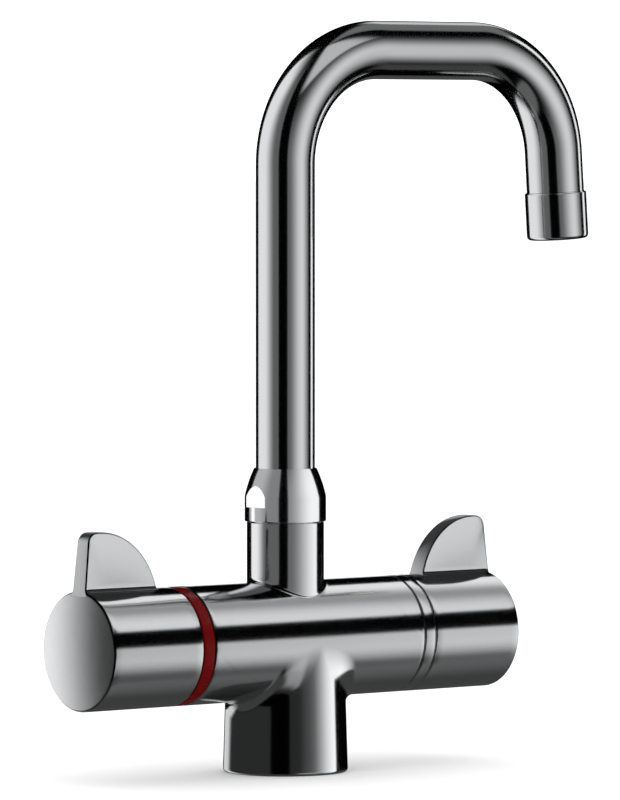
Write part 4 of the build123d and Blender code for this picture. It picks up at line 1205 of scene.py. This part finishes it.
def linked_dome(name, reach, panels, pieces):
    """A wide glowing sphere whose panels light some pieces only: (r cos a cos b, r sin a cos b, r sin b)."""
    material = bpy.data.materials.new(name)
    tree = empty_tree(material)
    place = add_node(tree, "ShaderNodeTexCoord").outputs["Object"]
    direction = add_node(tree, "ShaderNodeVectorMath", {0: place}, operation="NORMALIZE").outputs["Vector"]
    total = panel_light(tree, direction, panels)
    glow = add_node(tree, "ShaderNodeEmission", {"Color": WHITE, "Strength": total})
    clear = add_node(tree, "ShaderNodeBsdfTransparent")
    both = add_node(tree, "ShaderNodeAddShader", {0: glow.outputs[0], 1: clear.outputs[0]})
    add_node(tree, "ShaderNodeOutputMaterial", {"Surface": both.outputs[0]})
    material.cycles.emission_sampling = "NONE"
    turns, heights = full_turn(48), np.linspace(-pi / 2, pi / 2, 25)[:, None]
    level = np.cos(heights)
    points = reach * joined(np.cos(turns) * level, np.sin(turns) * level, np.sin(heights))
    vertices, triangles = weld([points])
    mesh = bpy.data.meshes.new(name)
    mesh.from_pydata(vertices.tolist(), [], triangles[:, ::-1].tolist())
    mesh.materials.append(material)
    dome = add_object(name, mesh)
    dome.visible_camera = False
    dome.visible_diffuse = False
    dome.visible_shadow = False
    dome.visible_transmission = False
    receivers = bpy.data.collections.new(name + "_pieces")
    for piece in pieces:
        receivers.objects.link(piece)
    dome.light_linking.receiver_collection = receivers
    dome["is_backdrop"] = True


def pale_floor(colours):
    """A wide flat floor, which reflections don't show."""
    made = new_finish("pale_paper", colours.floor, 0.0, 0.9)
    vary(made, 30.0, 0.85, 0.95)
    reach = FLOOR_REACH
    corners = [(-reach, -reach, 0), (reach, -reach, 0), (reach, reach, 0), (-reach, reach, 0)]
    mesh = bpy.data.meshes.new("floor")
    mesh.from_pydata(corners, [], [(0, 1, 2, 3)])
    mesh.materials.append(made.material)
    floor = add_object("floor", mesh)
    floor.visible_glossy = False
    floor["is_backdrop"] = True


def studio_camera(scene):
    """A camera that sees the tap as the photo shows it."""
    camera = bpy.data.cameras.new("view")
    camera.lens = VIEW_LENS
    camera.sensor_width = VIEW_SENSOR
    camera.clip_end = VIEW_FAR
    view = add_object("view", camera)
    back = CAMERA_BACK * cos(VIEW_ELEVATION) + Vector((0, 0, sin(VIEW_ELEVATION)))
    up = CAMERA_RIGHT.cross(-back)
    turn = Matrix((CAMERA_RIGHT, up, back)).transposed().to_4x4()
    view.matrix_world = Matrix.Translation(VIEW_TARGET + VIEW_DISTANCE * back) @ turn
    scene.camera = view


class TAP_OT_stage(bpy.types.Operator):
    """Makes the pale floor, the studio light and the camera"""
    bl_idname = "tap.stage"
    bl_label = "Stage"

    def execute(self, context):
        scene = context.scene
        studio_world(scene)
        rest = set(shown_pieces())
        for i, (name, panels, members) in enumerate(LIT_GROUPS):
            lit = [bpy.data.objects[member] for member in members] if members else rest
            rest = rest - set(lit)
            linked_dome(name, DOME_REACH + i, panels, lit)
        pale_floor(scene.tap_colours)
        studio_camera(scene)
        scene.view_settings.view_transform = "Standard"
        return {"FINISHED"}


class TAP_PT_panel(bpy.types.Panel):
    """Lists the tap's operators"""
    bl_label = "Basin mixer tap"
    bl_idname = "TAP_PT_panel"
    bl_space_type = "VIEW_3D"
    bl_region_type = "UI"
    bl_category = "Tap"

    def draw(self, context):
        for operator in OPERATORS:
            self.layout.operator(operator.bl_idname)


OPERATORS = (TAP_OT_finish_inner_pieces, TAP_OT_body_casting, TAP_OT_side_rings, TAP_OT_collar_nut,
             TAP_OT_return_spring, TAP_OT_handles, TAP_OT_spout, TAP_OT_stage)
SETTINGS = {"tap_body": TapBodySizes, "tap_spring": TapSpringSizes, "tap_handle": TapHandleSizes,
            "tap_spout": TapSpoutSizes, "tap_colours": TapColours}


def register():
    for name, group in SETTINGS.items():
        bpy.utils.register_class(group)
        setattr(bpy.types.Scene, name, bpy.props.PointerProperty(type=group))
    for shown in (*OPERATORS, TAP_PT_panel):
        bpy.utils.register_class(shown)


def unregister():
    for shown in reversed((*OPERATORS, TAP_PT_panel)):
        bpy.utils.unregister_class(shown)
    for name, group in SETTINGS.items():
        delattr(bpy.types.Scene, name)
        bpy.utils.unregister_class(group)


def main():
    register()
    bpy.ops.tap.finish_inner_pieces()
    bpy.ops.tap.body_casting()
    bpy.ops.tap.side_rings()
    bpy.ops.tap.collar_nut()
    bpy.ops.tap.return_spring()
    bpy.ops.tap.handles()
    bpy.ops.tap.spout()
    bpy.ops.tap.stage()


if __name__ == "__main__":
    main()
